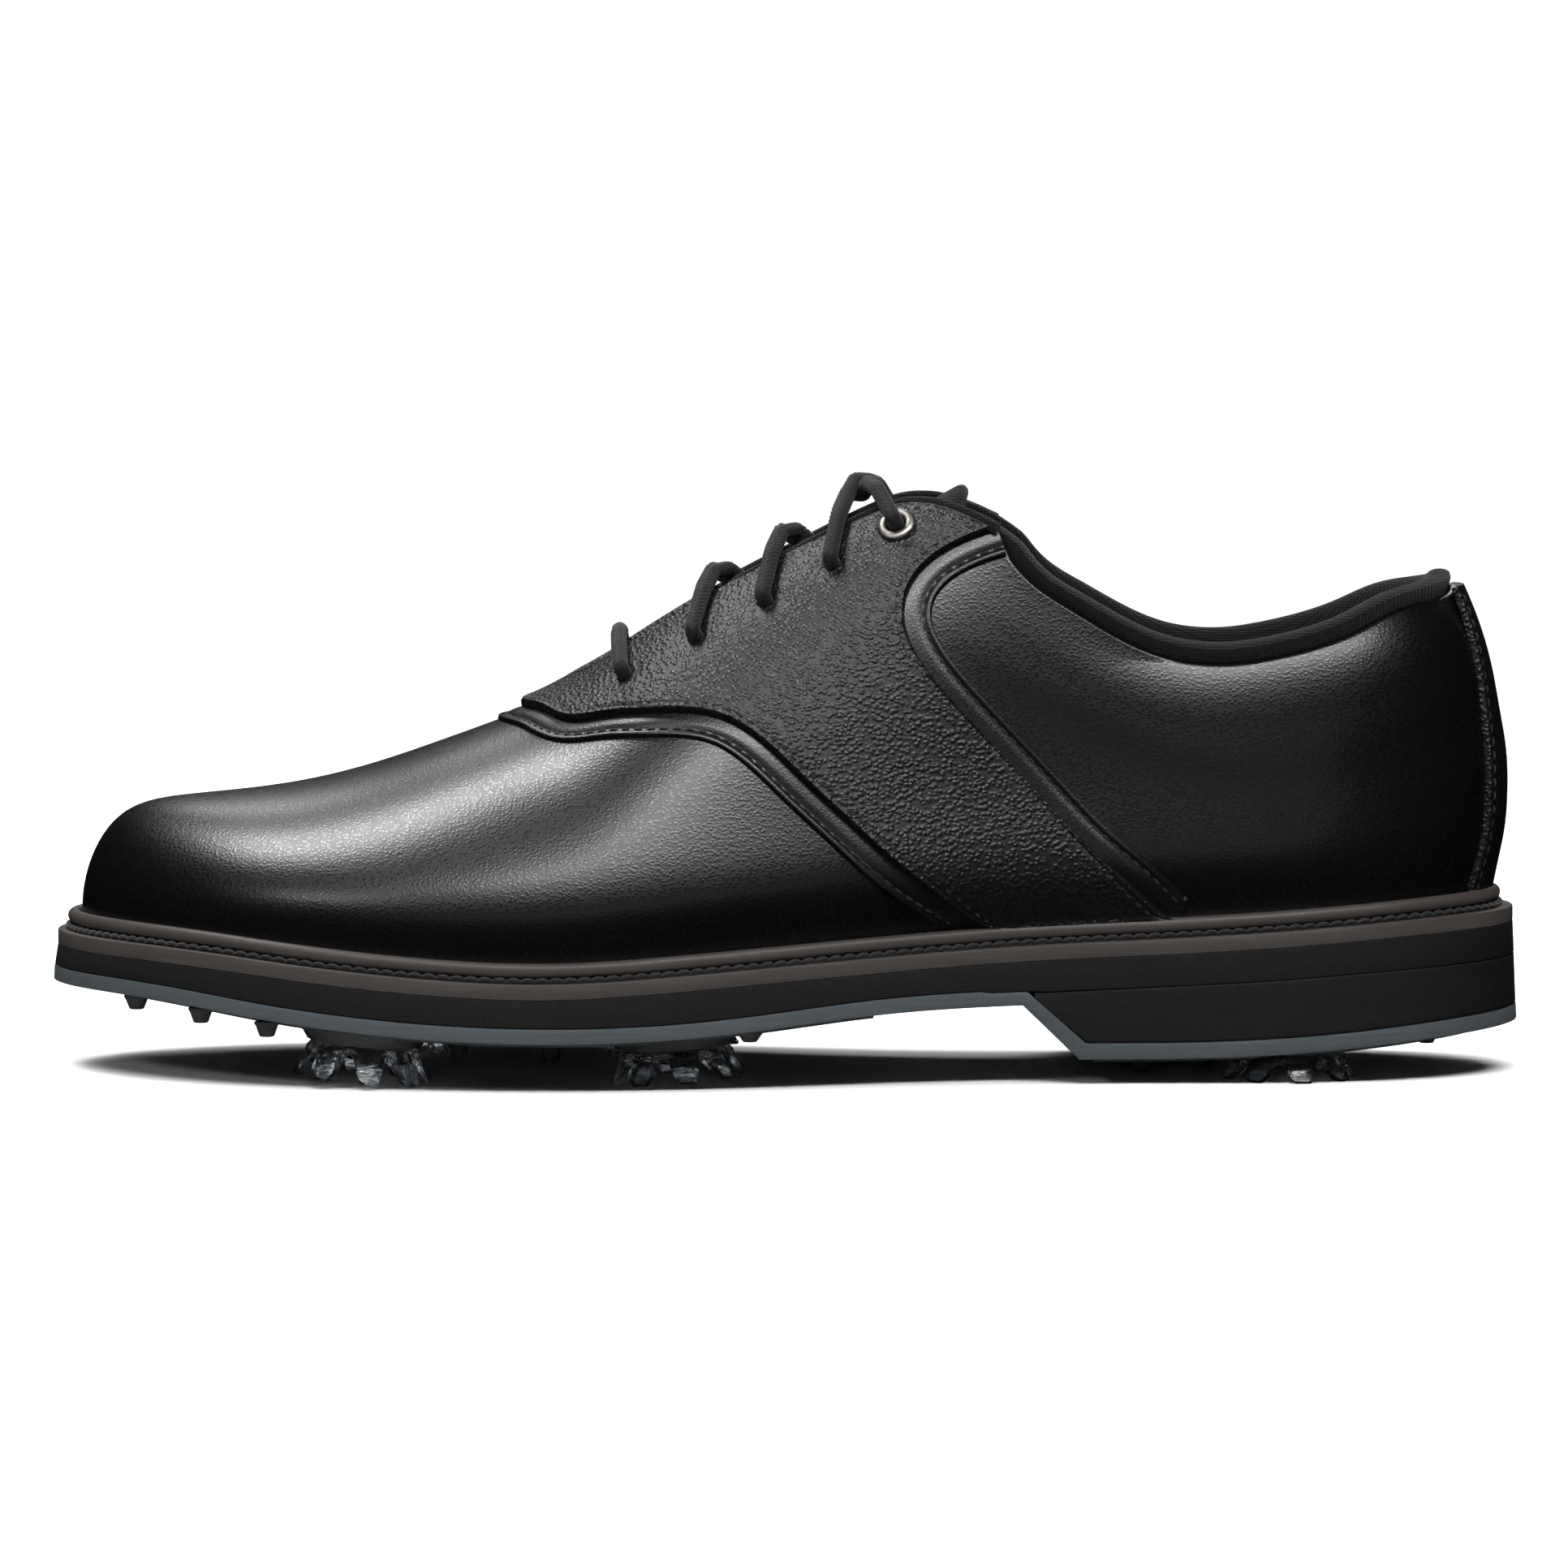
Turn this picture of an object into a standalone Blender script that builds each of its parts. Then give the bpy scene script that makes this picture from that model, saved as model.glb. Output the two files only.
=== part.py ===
"""A left golf saddle shoe with a storm welt, a stacked heel and six twist-in soft cleats.

The toe points along -X, the lateral side faces -Y and +Z is up. The ground is z = 0.
Every leather, lining and stiffener is a layer of one upper surface, which is a function of p, the place round
the shoe (0 toe tip, 0 to 1 lateral side, 1 heel, 1 to 2 medial side), and of phi, the height on the section
(0 at the feather line, a quarter turn at the ridge). All tables below are in millimetres.
"""

import math

import bmesh
import bpy
import numpy as np
from mathutils import Matrix, Vector

MM = 0.001
HALF_LENGTH = 152.85
GAP = 0.35
QUARTER_TURN = math.pi / 2

# Sole stack, measured down from the top face of the welt's lip.
LIP = 3.2
FEATHER_RISE = 4.2
LIP_INSET = 0.9
OUTSOLE_THICKNESS = 3.2
BREAST_TOP_X, BREAST_FOOT_X = 49.0, 60.6
HEEL_STACK_X = 51.5

# Layers of the upper: (inner face, outer face) as distances from the skin of the vamp and the quarters.
SKIN = (-1.4, 0.0)
STIFFENER = (-2.4, -1.8)
LINING = (-3.9, -3.1)
TRIM = (0.4, 0.9)
SADDLE = (1.4, 2.6)
BACKING = (-1.4, 0.8)
BACKSTAY = (0.5, 1.5)
TONGUE = (-9.0, -6.0)
WELT_EDGE_PHI = -0.2
BELOW_FEATHER = 36.0

# Lacing.
LACE_R = 1.5
LACE_OUT = 4.4
LACE_IN = -4.1
EYELET_ROWS = ((-32.9, 83.6), (-18.3, 91.5), (-4.0, 98.9), (9.9, 106.5), (23.2, 114.1))

# Cleats: (x, y, tilt in degrees about Y that follows the sole's rocker).
CLEAT_SEATS = {
    "fore_lateral": (-86.0, -33.0, 5.0),
    "fore_medial": (-82.0, 33.0, 5.0),
    "ball_lateral": (-22.5, -31.0, -4.0),
    "ball_medial": (-24.0, 27.0, -4.0),
    "heel_lateral": (104.5, -20.0, 0.0),
    "heel_medial": (104.5, 20.0, 0.0),
}
CLEAT_PRONGS = 8
CLEAT_R = 14.0
CROWN_R = 11.6
STUD_R = 5.2
SOCKET_R = 5.8
RECEPTACLE_R = 9.6
BOSS_R = 13.0
BOSS_DROP = 2.4
PLATE = 0.9



def spline(xs, ys):
    """The natural cubic spline through the points, as a function."""
    x, y = np.array(xs, float), np.array(ys, float)
    n, h = len(x), np.diff(np.array(xs, float))
    a, b = np.eye(n), np.zeros(n)
    for i in range(1, n - 1):
        a[i, i - 1 : i + 2] = h[i - 1], 2 * (h[i - 1] + h[i]), h[i]
        b[i] = 6 * ((y[i + 1] - y[i]) / h[i] - (y[i] - y[i - 1]) / h[i - 1])
    m = np.linalg.solve(a, b)

    def value(q):
        q = np.clip(q, x[0], x[-1])
        i = np.clip(np.searchsorted(x, q, side="right") - 1, 0, n - 2)
        t, u, k = q - x[i], x[i + 1] - q, h[i]
        bend = (m[i] * u**3 + m[i + 1] * t**3) / (6 * k)
        return bend + (y[i] / k - m[i] * k / 6) * u + (y[i + 1] / k - m[i + 1] * k / 6) * t

    return value


# The sole's plan: centre line, and half width divided by sin(pi p), both against x.
plan_centre = spline((-153, -125, -100, -75, -50, -25, 0, 25, 50, 80, 110, 153),
                     (10.2, 5.2, 2.8, 1.2, -0.4, -2.4, -3.4, -2.8, -1.0, 0.8, 1.8, 2.2))
plan_width = spline((-153, -125, -100, -75, -50, -25, 0, 25, 50, 80, 115, 153),
                    (70, 68.2, 64.8, 60.8, 56.9, 51.3, 44.8, 39.6, 37.9, 42.5, 54.0, 65.0))
# The top face of the welt's lip, and the bottom of the sole before and behind the heel breast.
lip_top = spline((-153, -135, -118, -103, -77, -48.5, -20, 18, 49, 82, 113.5, 137, 153),
                 (28.5, 28.3, 27.4, 25.9, 23.5, 22.4, 24.0, 26.8, 28.7, 30.2, 32.2, 33.7, 34.2))
forefoot_bottom = spline((-153, -136, -121, -108, -96, -73.6, -48.5, -19.6, -1, 18, 49),
                         (17.8, 17.5, 16.2, 14.4, 12.9, 10.9, 10.1, 11.1, 12.9, 15.0, 16.5))
heel_bottom = spline((60.6, 86, 113.5, 137, 153), (5.2, 5.4, 6.9, 9.0, 10.3))
heel_joint = spline((50, 101, 125, 153), (19.3, 21.7, 23.3, 24.5))
# The upper: inset of the feather line from the sole's edge, ridge height, section fullness and side bulge.
feather_inset = spline((-153, -100, -40, 20, 80, 153), (6.0, 5.4, 4.8, 4.8, 5.4, 6.5))
ridge_top = spline((-153, -135, -116, -101, -85.5, -70, -57, -44.8, -29.6, -11, 3.2, 16, 30, 45, 62, 85, 153),
                   (55.4, 56.2, 57.5, 59.5, 63.3, 68.6, 73.4, 79.0, 89.4, 101.6, 109.8, 117.2, 124.6, 130.6,
                    134.5, 137, 138))
fullness = spline((-153, -120, -60, -20, 10, 45, 90, 153), (1.0, 0.97, 1.0, 1.1, 1.1, 0.95, 0.65, 0.5))
ridge_shift = spline((-153, -110, -50, 20, 80, 153), (0.0, 2.0, 4.5, 4.0, 0.0, 0.0))
bulge_lateral = spline((-153, -120, -80, -40, 0, 30, 60, 100, 135, 153),
                       (0, 1.2, 2.4, 3.0, 4.0, 4.3, 3.6, 2.6, 1.2, 0))
bulge_medial = spline((-153, -120, -80, -40, 0, 30, 60, 100, 135, 153),
                      (0, 1.2, 2.2, 3.0, 4.6, 5.4, 4.2, 2.8, 1.2, 0))
heel_profile = spline((0, 6, 11, 19.5, 28, 36.5, 45, 52, 57, 63.5, 80, 110),
                      (0, 1.2, 2.2, 2.9, 2.6, 1.2, -0.4, -2.3, -4.1, -6.9, -14, -26))
BULGE_HEIGHT = 12.0
TOE_ROUNDING = 0.105


def sole_edge(p, inset):
    """Points of the sole's plan outline, moved inwards by inset, and the outward normals."""
    p = np.asarray(p, float)

    def at(q):
        x = -HALF_LENGTH * np.cos(math.pi * q)
        return np.stack([x, plan_centre(x) - np.sin(math.pi * q) * plan_width(x)], -1)

    along = at(p + 1e-4) - at(p - 1e-4)
    normal = np.stack([along[..., 1], -along[..., 0]], -1)
    normal /= np.linalg.norm(normal, axis=-1, keepdims=True)
    return at(p) - normal * np.asarray(inset, float)[..., None], normal


def upper(p, phi):
    """Points of the upper surface. Below the feather line it goes straight down behind the welt."""
    p, phi = np.broadcast_arrays(np.asarray(p, float), np.asarray(phi, float))
    x_nominal = -HALF_LENGTH * np.cos(math.pi * p)
    inset = feather_inset(x_nominal)
    here, outward = sole_edge(p, inset)
    other, _ = sole_edge(2 - p, inset)
    ridge = (here + other) / 2
    swell = np.sin(math.pi * p) ** 2
    ridge[..., 1] += ridge_shift(ridge[..., 0]) * swell
    feather = lip_top(here[..., 0]) + FEATHER_RISE
    tip_x = sole_edge(0.0, feather_inset(-153.0))[0][0]
    toe = np.sqrt(np.tanh(TOE_ROUNDING * np.clip(ridge[..., 0] - tip_x, 0, None)))
    height = (ridge_top(ridge[..., 0]) - feather) * toe
    up = np.clip(phi, 0, QUARTER_TURN)
    share = np.cos(up) ** fullness(x_nominal)
    rise = height * np.sin(up)
    z = feather + rise + np.minimum(phi, 0) * BELOW_FEATHER
    xy = ridge + (here - ridge) * share[..., None]
    bump = (rise / BULGE_HEIGHT) ** 2 * np.exp(2 - 2 * rise / BULGE_HEIGHT)
    lateral = np.sin(math.pi * p) >= 0
    size = np.where(lateral, bulge_lateral(x_nominal), bulge_medial(x_nominal))
    xy = xy + outward * (size * bump * np.cos(up))[..., None]
    back = np.clip((x_nominal - 70) / 75, 0, 1)
    xy[..., 0] += heel_profile(rise) * back * back * (3 - 2 * back)
    return np.concatenate([xy, z[..., None]], -1)


def skin_normal(p, phi):
    """Outward unit normals of the upper surface."""
    p, phi = np.broadcast_arrays(np.asarray(p, float), np.asarray(phi, float))
    tip = np.abs(np.sin(math.pi * p / 2)) < 1e-6
    q = np.where(tip, p + 2e-3, p)
    low, high = np.minimum(phi, QUARTER_TURN - 1e-4) - 1e-4, np.minimum(phi, QUARTER_TURN - 1e-4) + 1e-4
    along = upper(q + 1e-4, phi) - upper(q - 1e-4, phi)
    n = np.cross(along, upper(q, high) - upper(q, low))
    n /= np.maximum(np.linalg.norm(n, axis=-1, keepdims=True), 1e-12)
    n[tip] = (-1.0, 0.0, 0.0)
    return n


def layer(p, phi, distance):
    """Points at a distance outside the upper surface."""
    p, phi = np.broadcast_arrays(np.asarray(p, float), np.asarray(phi, float))
    return upper(p, phi) + skin_normal(p, phi) * np.asarray(distance, float)[..., None]


def locate(targets, axes, distance=0.0, start_phi=0.8):
    """The (p, phi) on the lateral side whose layer point has these coordinates along the named axes."""
    goal = np.array(targets, float)
    p = np.arccos(np.clip(-goal[:, 0] / HALF_LENGTH, -0.995, 0.995)) / math.pi
    phi = np.full(len(goal), start_phi) if np.isscalar(start_phi) else np.array(start_phi, float)
    for _ in range(30):
        here = layer(p, phi, distance)[:, axes]
        dp = (layer(p + 1e-4, phi, distance)[:, axes] - here) / 1e-4
        df = (layer(p, phi + 1e-4, distance)[:, axes] - here) / 1e-4
        jac = np.stack([dp, df], -1)
        square = np.einsum("nki,nkj->nij", jac, jac) + np.eye(2) * 1e-6
        step = np.linalg.solve(square, np.einsum("nki,nk->ni", jac, goal - here)[..., None])[..., 0]
        p = np.clip(p + np.clip(step[:, 0], -0.03, 0.03), 0.02, 1.0)
        phi = np.clip(phi + np.clip(step[:, 1], -0.15, 0.15), -0.15, 1.555)
    return np.stack([p, phi], -1)


def resample(curve, count):
    """The (p, phi) curve with count points at even steps of its length on the shoe."""
    curve = np.asarray(curve, float)
    fine = np.linspace(0, 1, 160)
    key = np.linspace(0, 1, len(curve))
    dense = np.stack([np.interp(fine, key, curve[:, k]) for k in range(2)], -1)
    run = np.linalg.norm(np.diff(upper(dense[:, 0], dense[:, 1]), axis=0), axis=1)
    length = np.concatenate([[0], np.cumsum(run)])
    want = np.linspace(0, length[-1], count)
    return np.stack([np.interp(want, length, dense[:, k]) for k in range(2)], -1)


def rounded(curve, count=60):
    """A smooth (p, phi) curve through hand-placed points, by splines over their running length."""
    curve = np.asarray(curve, float)
    run = np.linalg.norm(np.diff(upper(curve[:, 0], curve[:, 1]), axis=0), axis=1)
    s = np.concatenate([[0], np.cumsum(run)])
    t = np.linspace(0, s[-1], count)
    return np.stack([spline(s, curve[:, k])(t) for k in range(2)], -1)


def moved(curve, distance):
    """The (p, phi) curve moved sideways on the surface, to the right of its run seen from outside."""
    curve = np.asarray(curve, float)
    points, normal = upper(curve[:, 0], curve[:, 1]), skin_normal(curve[:, 0], curve[:, 1])
    along = np.gradient(points, axis=0)
    side = np.cross(along, normal)
    side /= np.linalg.norm(side, axis=1, keepdims=True)
    return locate_near(points + side * distance, curve)


def locate_near(goal, start):
    """The (p, phi) nearest to each 3-D point, from a starting guess."""
    p, phi = start[:, 0].copy(), start[:, 1].copy()
    for _ in range(15):
        here = upper(p, phi)
        jac = np.stack([(upper(p + 1e-4, phi) - here) / 1e-4, (upper(p, phi + 1e-4) - here) / 1e-4], -1)
        square = np.einsum("nki,nkj->nij", jac, jac) + np.eye(2) * 1e-3
        step = np.linalg.solve(square, np.einsum("nki,nk->ni", jac, goal - here)[..., None])[..., 0]
        p = p + np.clip(step[:, 0], -0.03, 0.03)
        phi = np.clip(phi + np.clip(step[:, 1], -0.1, 0.1), WELT_EDGE_PHI, 1.565)
    return np.stack([p, phi], -1)


def coons(bottom, top, left, right):
    """A patch ruled from the left to the right edge, bent to the bottom and top edges near those two only."""
    t, s = np.linspace(0, 1, len(left))[:, None, None], np.linspace(0, 1, len(bottom))[None, :, None]
    ruled = (1 - s) * left[:, None] + s * right[:, None]
    low = bottom[None] - (1 - s) * bottom[0] - s * bottom[-1]
    high = top[None] - (1 - s) * top[0] - s * top[-1]
    return ruled + (1 - t) ** 2 * low + t**2 * high


def mirrored(grid):
    """The same (p, phi) grid or curve on the medial side."""
    return np.stack([2 - grid[..., 0], grid[..., 1]], -1)


# ---------------------------------------------------------------- meshes


def material(name, colour, roughness, metallic=0.0):
    made = bpy.data.materials.get(name) or bpy.data.materials.new(name)
    made.use_nodes = True
    shader = made.node_tree.nodes["Principled BSDF"]
    shader.inputs["Base Color"].default_value = (*colour, 1.0)
    shader.inputs["Roughness"].default_value = roughness
    shader.inputs["Metallic"].default_value = metallic
    return made


SMOOTH_LEATHER = material("smooth_leather", (0.012, 0.012, 0.013), 0.35)
TUMBLED_LEATHER = material("tumbled_leather", (0.025, 0.025, 0.027), 0.5)
TEXTILE = material("textile", (0.015, 0.017, 0.02), 0.95)
WELT_RUBBER = material("welt_rubber", (0.085, 0.075, 0.072), 0.45)
MIDSOLE_FOAM = material("midsole_foam", (0.012, 0.012, 0.012), 0.8)
OUTSOLE_RUBBER = material("outsole_rubber", (0.085, 0.105, 0.115), 0.6)
PLATE_PLASTIC = material("plate_plastic", (0.03, 0.032, 0.035), 0.5)
CLEAR_PLASTIC = material("clear_plastic", (0.55, 0.57, 0.6), 0.2)
EYELET_METAL = material("eyelet_metal", (0.35, 0.34, 0.32), 0.35, 1.0)
BOARD = material("board", (0.45, 0.36, 0.25), 0.9)
STEEL = material("steel", (0.5, 0.5, 0.52), 0.4, 1.0)
THREAD = material("thread", (0.01, 0.01, 0.012), 0.8)


def add_object(name, verts, faces, finish, hidden=False):
    """One closed mesh, in millimetres, as an object with its faces pointing out."""
    mesh = bpy.data.meshes.new(name)
    mesh.from_pydata([tuple(v) for v in np.asarray(verts, float) * MM], [], faces)
    bm = bmesh.new()
    bm.from_mesh(mesh)
    bmesh.ops.remove_doubles(bm, verts=bm.verts, dist=1e-6)
    bmesh.ops.recalc_face_normals(bm, faces=bm.faces)
    if bm.calc_volume(signed=True) < 0:
        bmesh.ops.reverse_faces(bm, faces=bm.faces)
    bm.to_mesh(mesh)
    bm.free()
    mesh.shade_smooth()
    mesh.set_sharp_from_angle(angle=math.radians(40))
    obj = bpy.data.objects.new(name, mesh)
    bpy.context.scene.collection.objects.link(obj)
    mesh.materials.append(finish)
    if hidden:
        obj.hide_render = True
        obj.display_type = "WIRE"
    return obj


def sheets(name, outer, inner, finish, pole=False):
    """The solid between two grids of points with the same shape. With a pole, the first column has no rim."""
    n, m = outer.shape[:2]
    verts = np.concatenate([outer.reshape(-1, 3), inner.reshape(-1, 3)])
    faces, under = [], n * m
    for i in range(n - 1):
        for j in range(m - 1):
            a, b, c, d = i * m + j, i * m + j + 1, (i + 1) * m + j + 1, (i + 1) * m + j
            faces += [(a, b, c, d), (under + d, under + c, under + b, under + a)]
    rim = [j for j in range(m)] + [i * m + m - 1 for i in range(1, n)]
    rim += [(n - 1) * m + j for j in range(m - 2, -1, -1)] + [i * m for i in range(n - 2, 0, -1)]
    for a, b in zip(rim, rim[1:] + rim[:1]):
        if not (pole and a % m == 0 and b % m == 0):
            faces.append((b, a, under + a, under + b))
    return add_object(name, verts, faces, finish)


def shell(name, grid, span, finish, pole=False):
    """A layer of the upper over a (p, phi) grid, between two distances from the skin."""
    p, phi = grid[..., 0], grid[..., 1]
    return sheets(name, layer(p, phi, span[1]), layer(p, phi, span[0]), finish, pole)


def loft(name, rings, finish, loop=False, hidden=False):
    """The solid through closed rings of points. loop joins the last ring to the first."""
    rings = np.asarray(rings, float)
    n, m = rings.shape[:2]
    faces = []
    for i in range(n if loop else n - 1):
        k = (i + 1) % n
        for j in range(m):
            l = (j + 1) % m
            faces.append((i * m + j, i * m + l, k * m + l, k * m + j))
    if not loop:
        faces += [tuple(range(m - 1, -1, -1)), tuple((n - 1) * m + j for j in range(m))]
    return add_object(name, rings.reshape(-1, 3), faces, finish, hidden)


def turned(name, profile, sides, place, finish, hidden=False, ring=False):
    """A profile of (radius, height) turned about the local Z axis and put in place by a matrix.

    The profile's two ends become flat discs. With ring=True it is closed on itself and leaves a hole.
    """
    angles = 2 * math.pi * np.arange(sides) / sides
    rings = np.array([[(r * math.cos(a), r * math.sin(a), z) for a in angles] for r, z in profile])
    return loft(name, placed(rings, place), finish, loop=ring, hidden=hidden)


def placed(points, place):
    return points @ np.array(place.to_3x3()).T + np.array(place.translation)


def tube(name, path, radius, sides, finish):
    """A round tube along a path of points, with flat ends."""
    path = np.asarray(path, float)
    along = np.gradient(path, axis=0)
    along /= np.linalg.norm(along, axis=1, keepdims=True)
    side = np.cross(along[0], (0.3, 0.2, 1.0))
    rings = []
    for point, forward in zip(path, along):
        side = side - forward * (side @ forward)
        side /= np.linalg.norm(side)
        up = np.cross(forward, side)
        angles = 2 * math.pi * np.arange(sides) / sides
        rings.append(point + radius * (np.cos(angles)[:, None] * side + np.sin(angles)[:, None] * up))
    return loft(name, rings, finish)


def cut(obj, cutter, operation="DIFFERENCE"):
    modifier = obj.modifiers.new(cutter.name, "BOOLEAN")
    modifier.object = cutter
    modifier.operation = operation
    return obj


def plate(name, stations, top, bottom, inset_top, inset_bottom, finish, columns=3, bottom_stations=None):
    """A sole layer between two height functions of x, over the part of the plan between the stations."""

    def face(xs, height, inset):
        x = np.array(xs, float)
        u = np.arccos(np.clip(-x / HALF_LENGTH, -1, 1)) / math.pi
        lateral, medial = (sole_edge(side, inset(x))[0] for side in (u, 2 - u))
        t = np.linspace(0, 1, columns + 1)[None, :, None]
        flat = lateral[:, None] * (1 - t) + medial[:, None] * t
        return np.concatenate([flat, height(flat[..., :1])], -1)

    lower = stations if bottom_stations is None else bottom_stations
    return sheets(name, face(stations, top, inset_top), face(lower, bottom, inset_bottom), finish)


def constant(value):
    return lambda x: np.full_like(np.asarray(x, float), value)


def end_stations(first, last, count):
    """Stations that crowd towards the toe and heel, as the plan's round ends need."""
    a, b = math.acos(-first / HALF_LENGTH), math.acos(-last / HALF_LENGTH)
    return -HALF_LENGTH * np.cos(np.linspace(a, b, count))


# ---------------------------------------------------------------- sole


def outsole_bottom(x):
    slope = np.interp(x, (BREAST_TOP_X, BREAST_FOOT_X), (16.5, 5.2))
    behind = np.where(x >= BREAST_FOOT_X, heel_bottom(x), slope)
    return np.where(x <= BREAST_TOP_X, forefoot_bottom(x), behind)


def outsole_top(x):
    slope = np.interp(x, (BREAST_TOP_X + 1, BREAST_FOOT_X + 1.4), (16.5 + OUTSOLE_THICKNESS - 0.4, 8.6))
    ahead, behind = forefoot_bottom(x) + OUTSOLE_THICKNESS, heel_bottom(x) + OUTSOLE_THICKNESS + 0.2
    return np.where(x <= BREAST_TOP_X + 1, ahead - 0.4 * (x > BREAST_TOP_X - 9),
                    np.where(x >= BREAST_FOOT_X + 1.4, behind, slope))


def midsole_bottom(x):
    return np.where(x <= BREAST_TOP_X + 1, outsole_top(np.minimum(x, BREAST_TOP_X + 1)) + GAP, heel_joint(x))


FRONT_STATIONS = list(end_stations(-HALF_LENGTH, 40.0, 17))
BACK_STATIONS = list(end_stations(73.0, HALF_LENGTH, 9))


def make_sole():
    front, back = FRONT_STATIONS, BACK_STATIONS
    upper_stations = front + [BREAST_TOP_X + 1, BREAST_FOOT_X + 1.4] + back
    lower_stations = front + [BREAST_TOP_X, BREAST_FOOT_X] + back
    outsole = plate("outsole", upper_stations, outsole_top, outsole_bottom, constant(0.15), constant(0.0),
                    OUTSOLE_RUBBER, bottom_stations=lower_stations)
    mid = front + [BREAST_TOP_X + 1, 58.0] + back
    plate("midsole", mid, lambda x: lip_top(x) - LIP - GAP, midsole_bottom,
          constant(LIP_INSET), lambda x: np.interp(x, (40, 80), (0.25, 0.6)), MIDSOLE_FOAM)
    block = [HEEL_STACK_X, BREAST_FOOT_X + 1.6] + back
    heel_block = plate("heel_block", block, lambda x: heel_joint(x) - GAP, lambda x: outsole_top(x) + GAP,
                       constant(0.62), constant(0.2), MIDSOLE_FOAM)
    return outsole, heel_block


def welt_section(p):
    """The storm welt's section at p, as (inset from the sole's edge, height above the lip's top face)."""
    x = -HALF_LENGTH * math.cos(math.pi * p)
    wall = float(feather_inset(x)) - GAP
    bead = [(wall - 1.5 + 1.45 * math.cos(a), 2.65 + 1.45 * math.sin(a)) for a in np.radians((175, 115, 45))]
    lip = [(LIP_INSET, -LIP), (LIP_INSET, -0.4), (LIP_INSET + 0.5, 0.0)]
    foot = [(wall - 3.2, 0.0), (wall - 2.4, -0.6), (wall - 1.7, 1.1)]
    return (lip + foot + bead + [(wall, 2.4), (wall, -LIP)])


def make_welt():
    stations = [2 * k / 54 for k in range(54)]
    rings = []
    for p in stations:
        inset, height = np.array(welt_section(p)).T
        flat, _ = sole_edge(np.full(len(inset), p), inset)
        z = lip_top(flat[:, 0]) + height
        rings.append(np.concatenate([flat, z[:, None]], -1))
    loft("welt", rings, WELT_RUBBER, loop=True)


def make_welt_stitch():
    """One lockstitch thread that lies in the welt's groove, thick at each stitch and thin between."""
    rings = []
    stitches = 30
    for k in range(stitches * 2):
        p = 2 * k / (stitches * 2)
        x = -HALF_LENGTH * math.cos(math.pi * p)
        radius = 0.55 if k % 2 else 0.38
        centre = float(feather_inset(x)) - GAP - 2.75
        ring = []
        for a in np.radians((45, 135, 225, 315)):
            flat, _ = sole_edge(p, centre + 0.4 * math.cos(a) * radius / 0.55)
            ring.append((flat[0], flat[1], float(lip_top(flat[0])) + 0.65 + radius * math.sin(a)))
        rings.append(ring)
    loft("welt_stitching", rings, THREAD, loop=True)


def make_insole_stack():
    def inside(more):
        return lambda x: feather_inset(x) - LINING[0] + more

    whole = end_stations(-HALF_LENGTH, HALF_LENGTH, 25)
    plate("insole_board", whole, lambda x: lip_top(x) + 0.6, lambda x: lip_top(x) - 1.5,
          inside(0.8), inside(0.8), BOARD)
    plate("forefoot_filler", whole[:12], lambda x: lip_top(x) - 1.9, lambda x: lip_top(x) - LIP + 0.1,
          inside(3.0), inside(3.0), BOARD)
    plate("shank", whole[12:19], lambda x: lip_top(x) - 1.9, lambda x: lip_top(x) - LIP + 0.1,
          inside(18.0), inside(18.0), STEEL, columns=1)
    plate("sockliner", whole, lambda x: lip_top(x) + 5.2, lambda x: lip_top(x) + 1.0,
          inside(1.2), inside(1.0), TEXTILE)


# ---------------------------------------------------------------- cleats


def cleat_place(x, y, tilt):
    """The frame of one cleat: origin on the sole's bottom face, local Z up along the cleat's axis."""
    turn = Matrix.Rotation(math.radians(tilt), 4, "Y")
    return Matrix.Translation((x, y, float(outsole_bottom(np.array(x))))) @ turn


def cleat_depth(place, tilt):
    """How far the prongs' tips lie below the local origin, so that the lowest one touches the ground."""
    reach = CLEAT_R * abs(math.sin(math.radians(tilt)))
    return (place.translation.z - reach) / math.cos(math.radians(tilt))


def cleat_profile(prong, seat, depth):
    """(radius, height) down one radial cut of a cleat, through a prong or through the gap between two."""
    crown = seat - 1.4
    if prong:
        rim = [(CROWN_R, seat), (CLEAT_R, -depth), (CLEAT_R - 2.0, -depth)]
    else:
        rim = [(CROWN_R - 0.6, seat), (CROWN_R - 0.2, crown), (CROWN_R - 2.6, crown)]
    return [(STUD_R, seat + 4.2), (STUD_R, seat)] + rim + [(4.6, crown - 1.0)]


def make_cleat(name, place, seat, depth):
    cuts = []
    for k in range(CLEAT_PRONGS):
        for share in (0.0, 0.3, 0.7):
            a = 2 * math.pi * (k + share) / CLEAT_PRONGS
            profile = cleat_profile(share > 0, seat, depth)
            cuts.append([(r * math.cos(a), r * math.sin(a), z) for r, z in profile])
    rings = np.swapaxes(np.array(cuts), 0, 1)
    return loft(name, placed(rings, place), CLEAR_PLASTIC)


def nub(name, x, y, length):
    """A tapered traction nub, its root sunk in the plate."""
    z = float(outsole_bottom(np.array(x))) - GAP
    rings = []
    for radius, height in ((2.3, z - PLATE + 0.5), (2.3, z - PLATE), (1.35, z - PLATE - length)):
        rings.append([(x + radius * math.cos(a), y + radius * math.sin(a), height)
                      for a in np.arange(6) * math.pi / 3 + math.pi / 6])
    return loft(name, rings, PLATE_PLASTIC, hidden=True)


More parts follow.
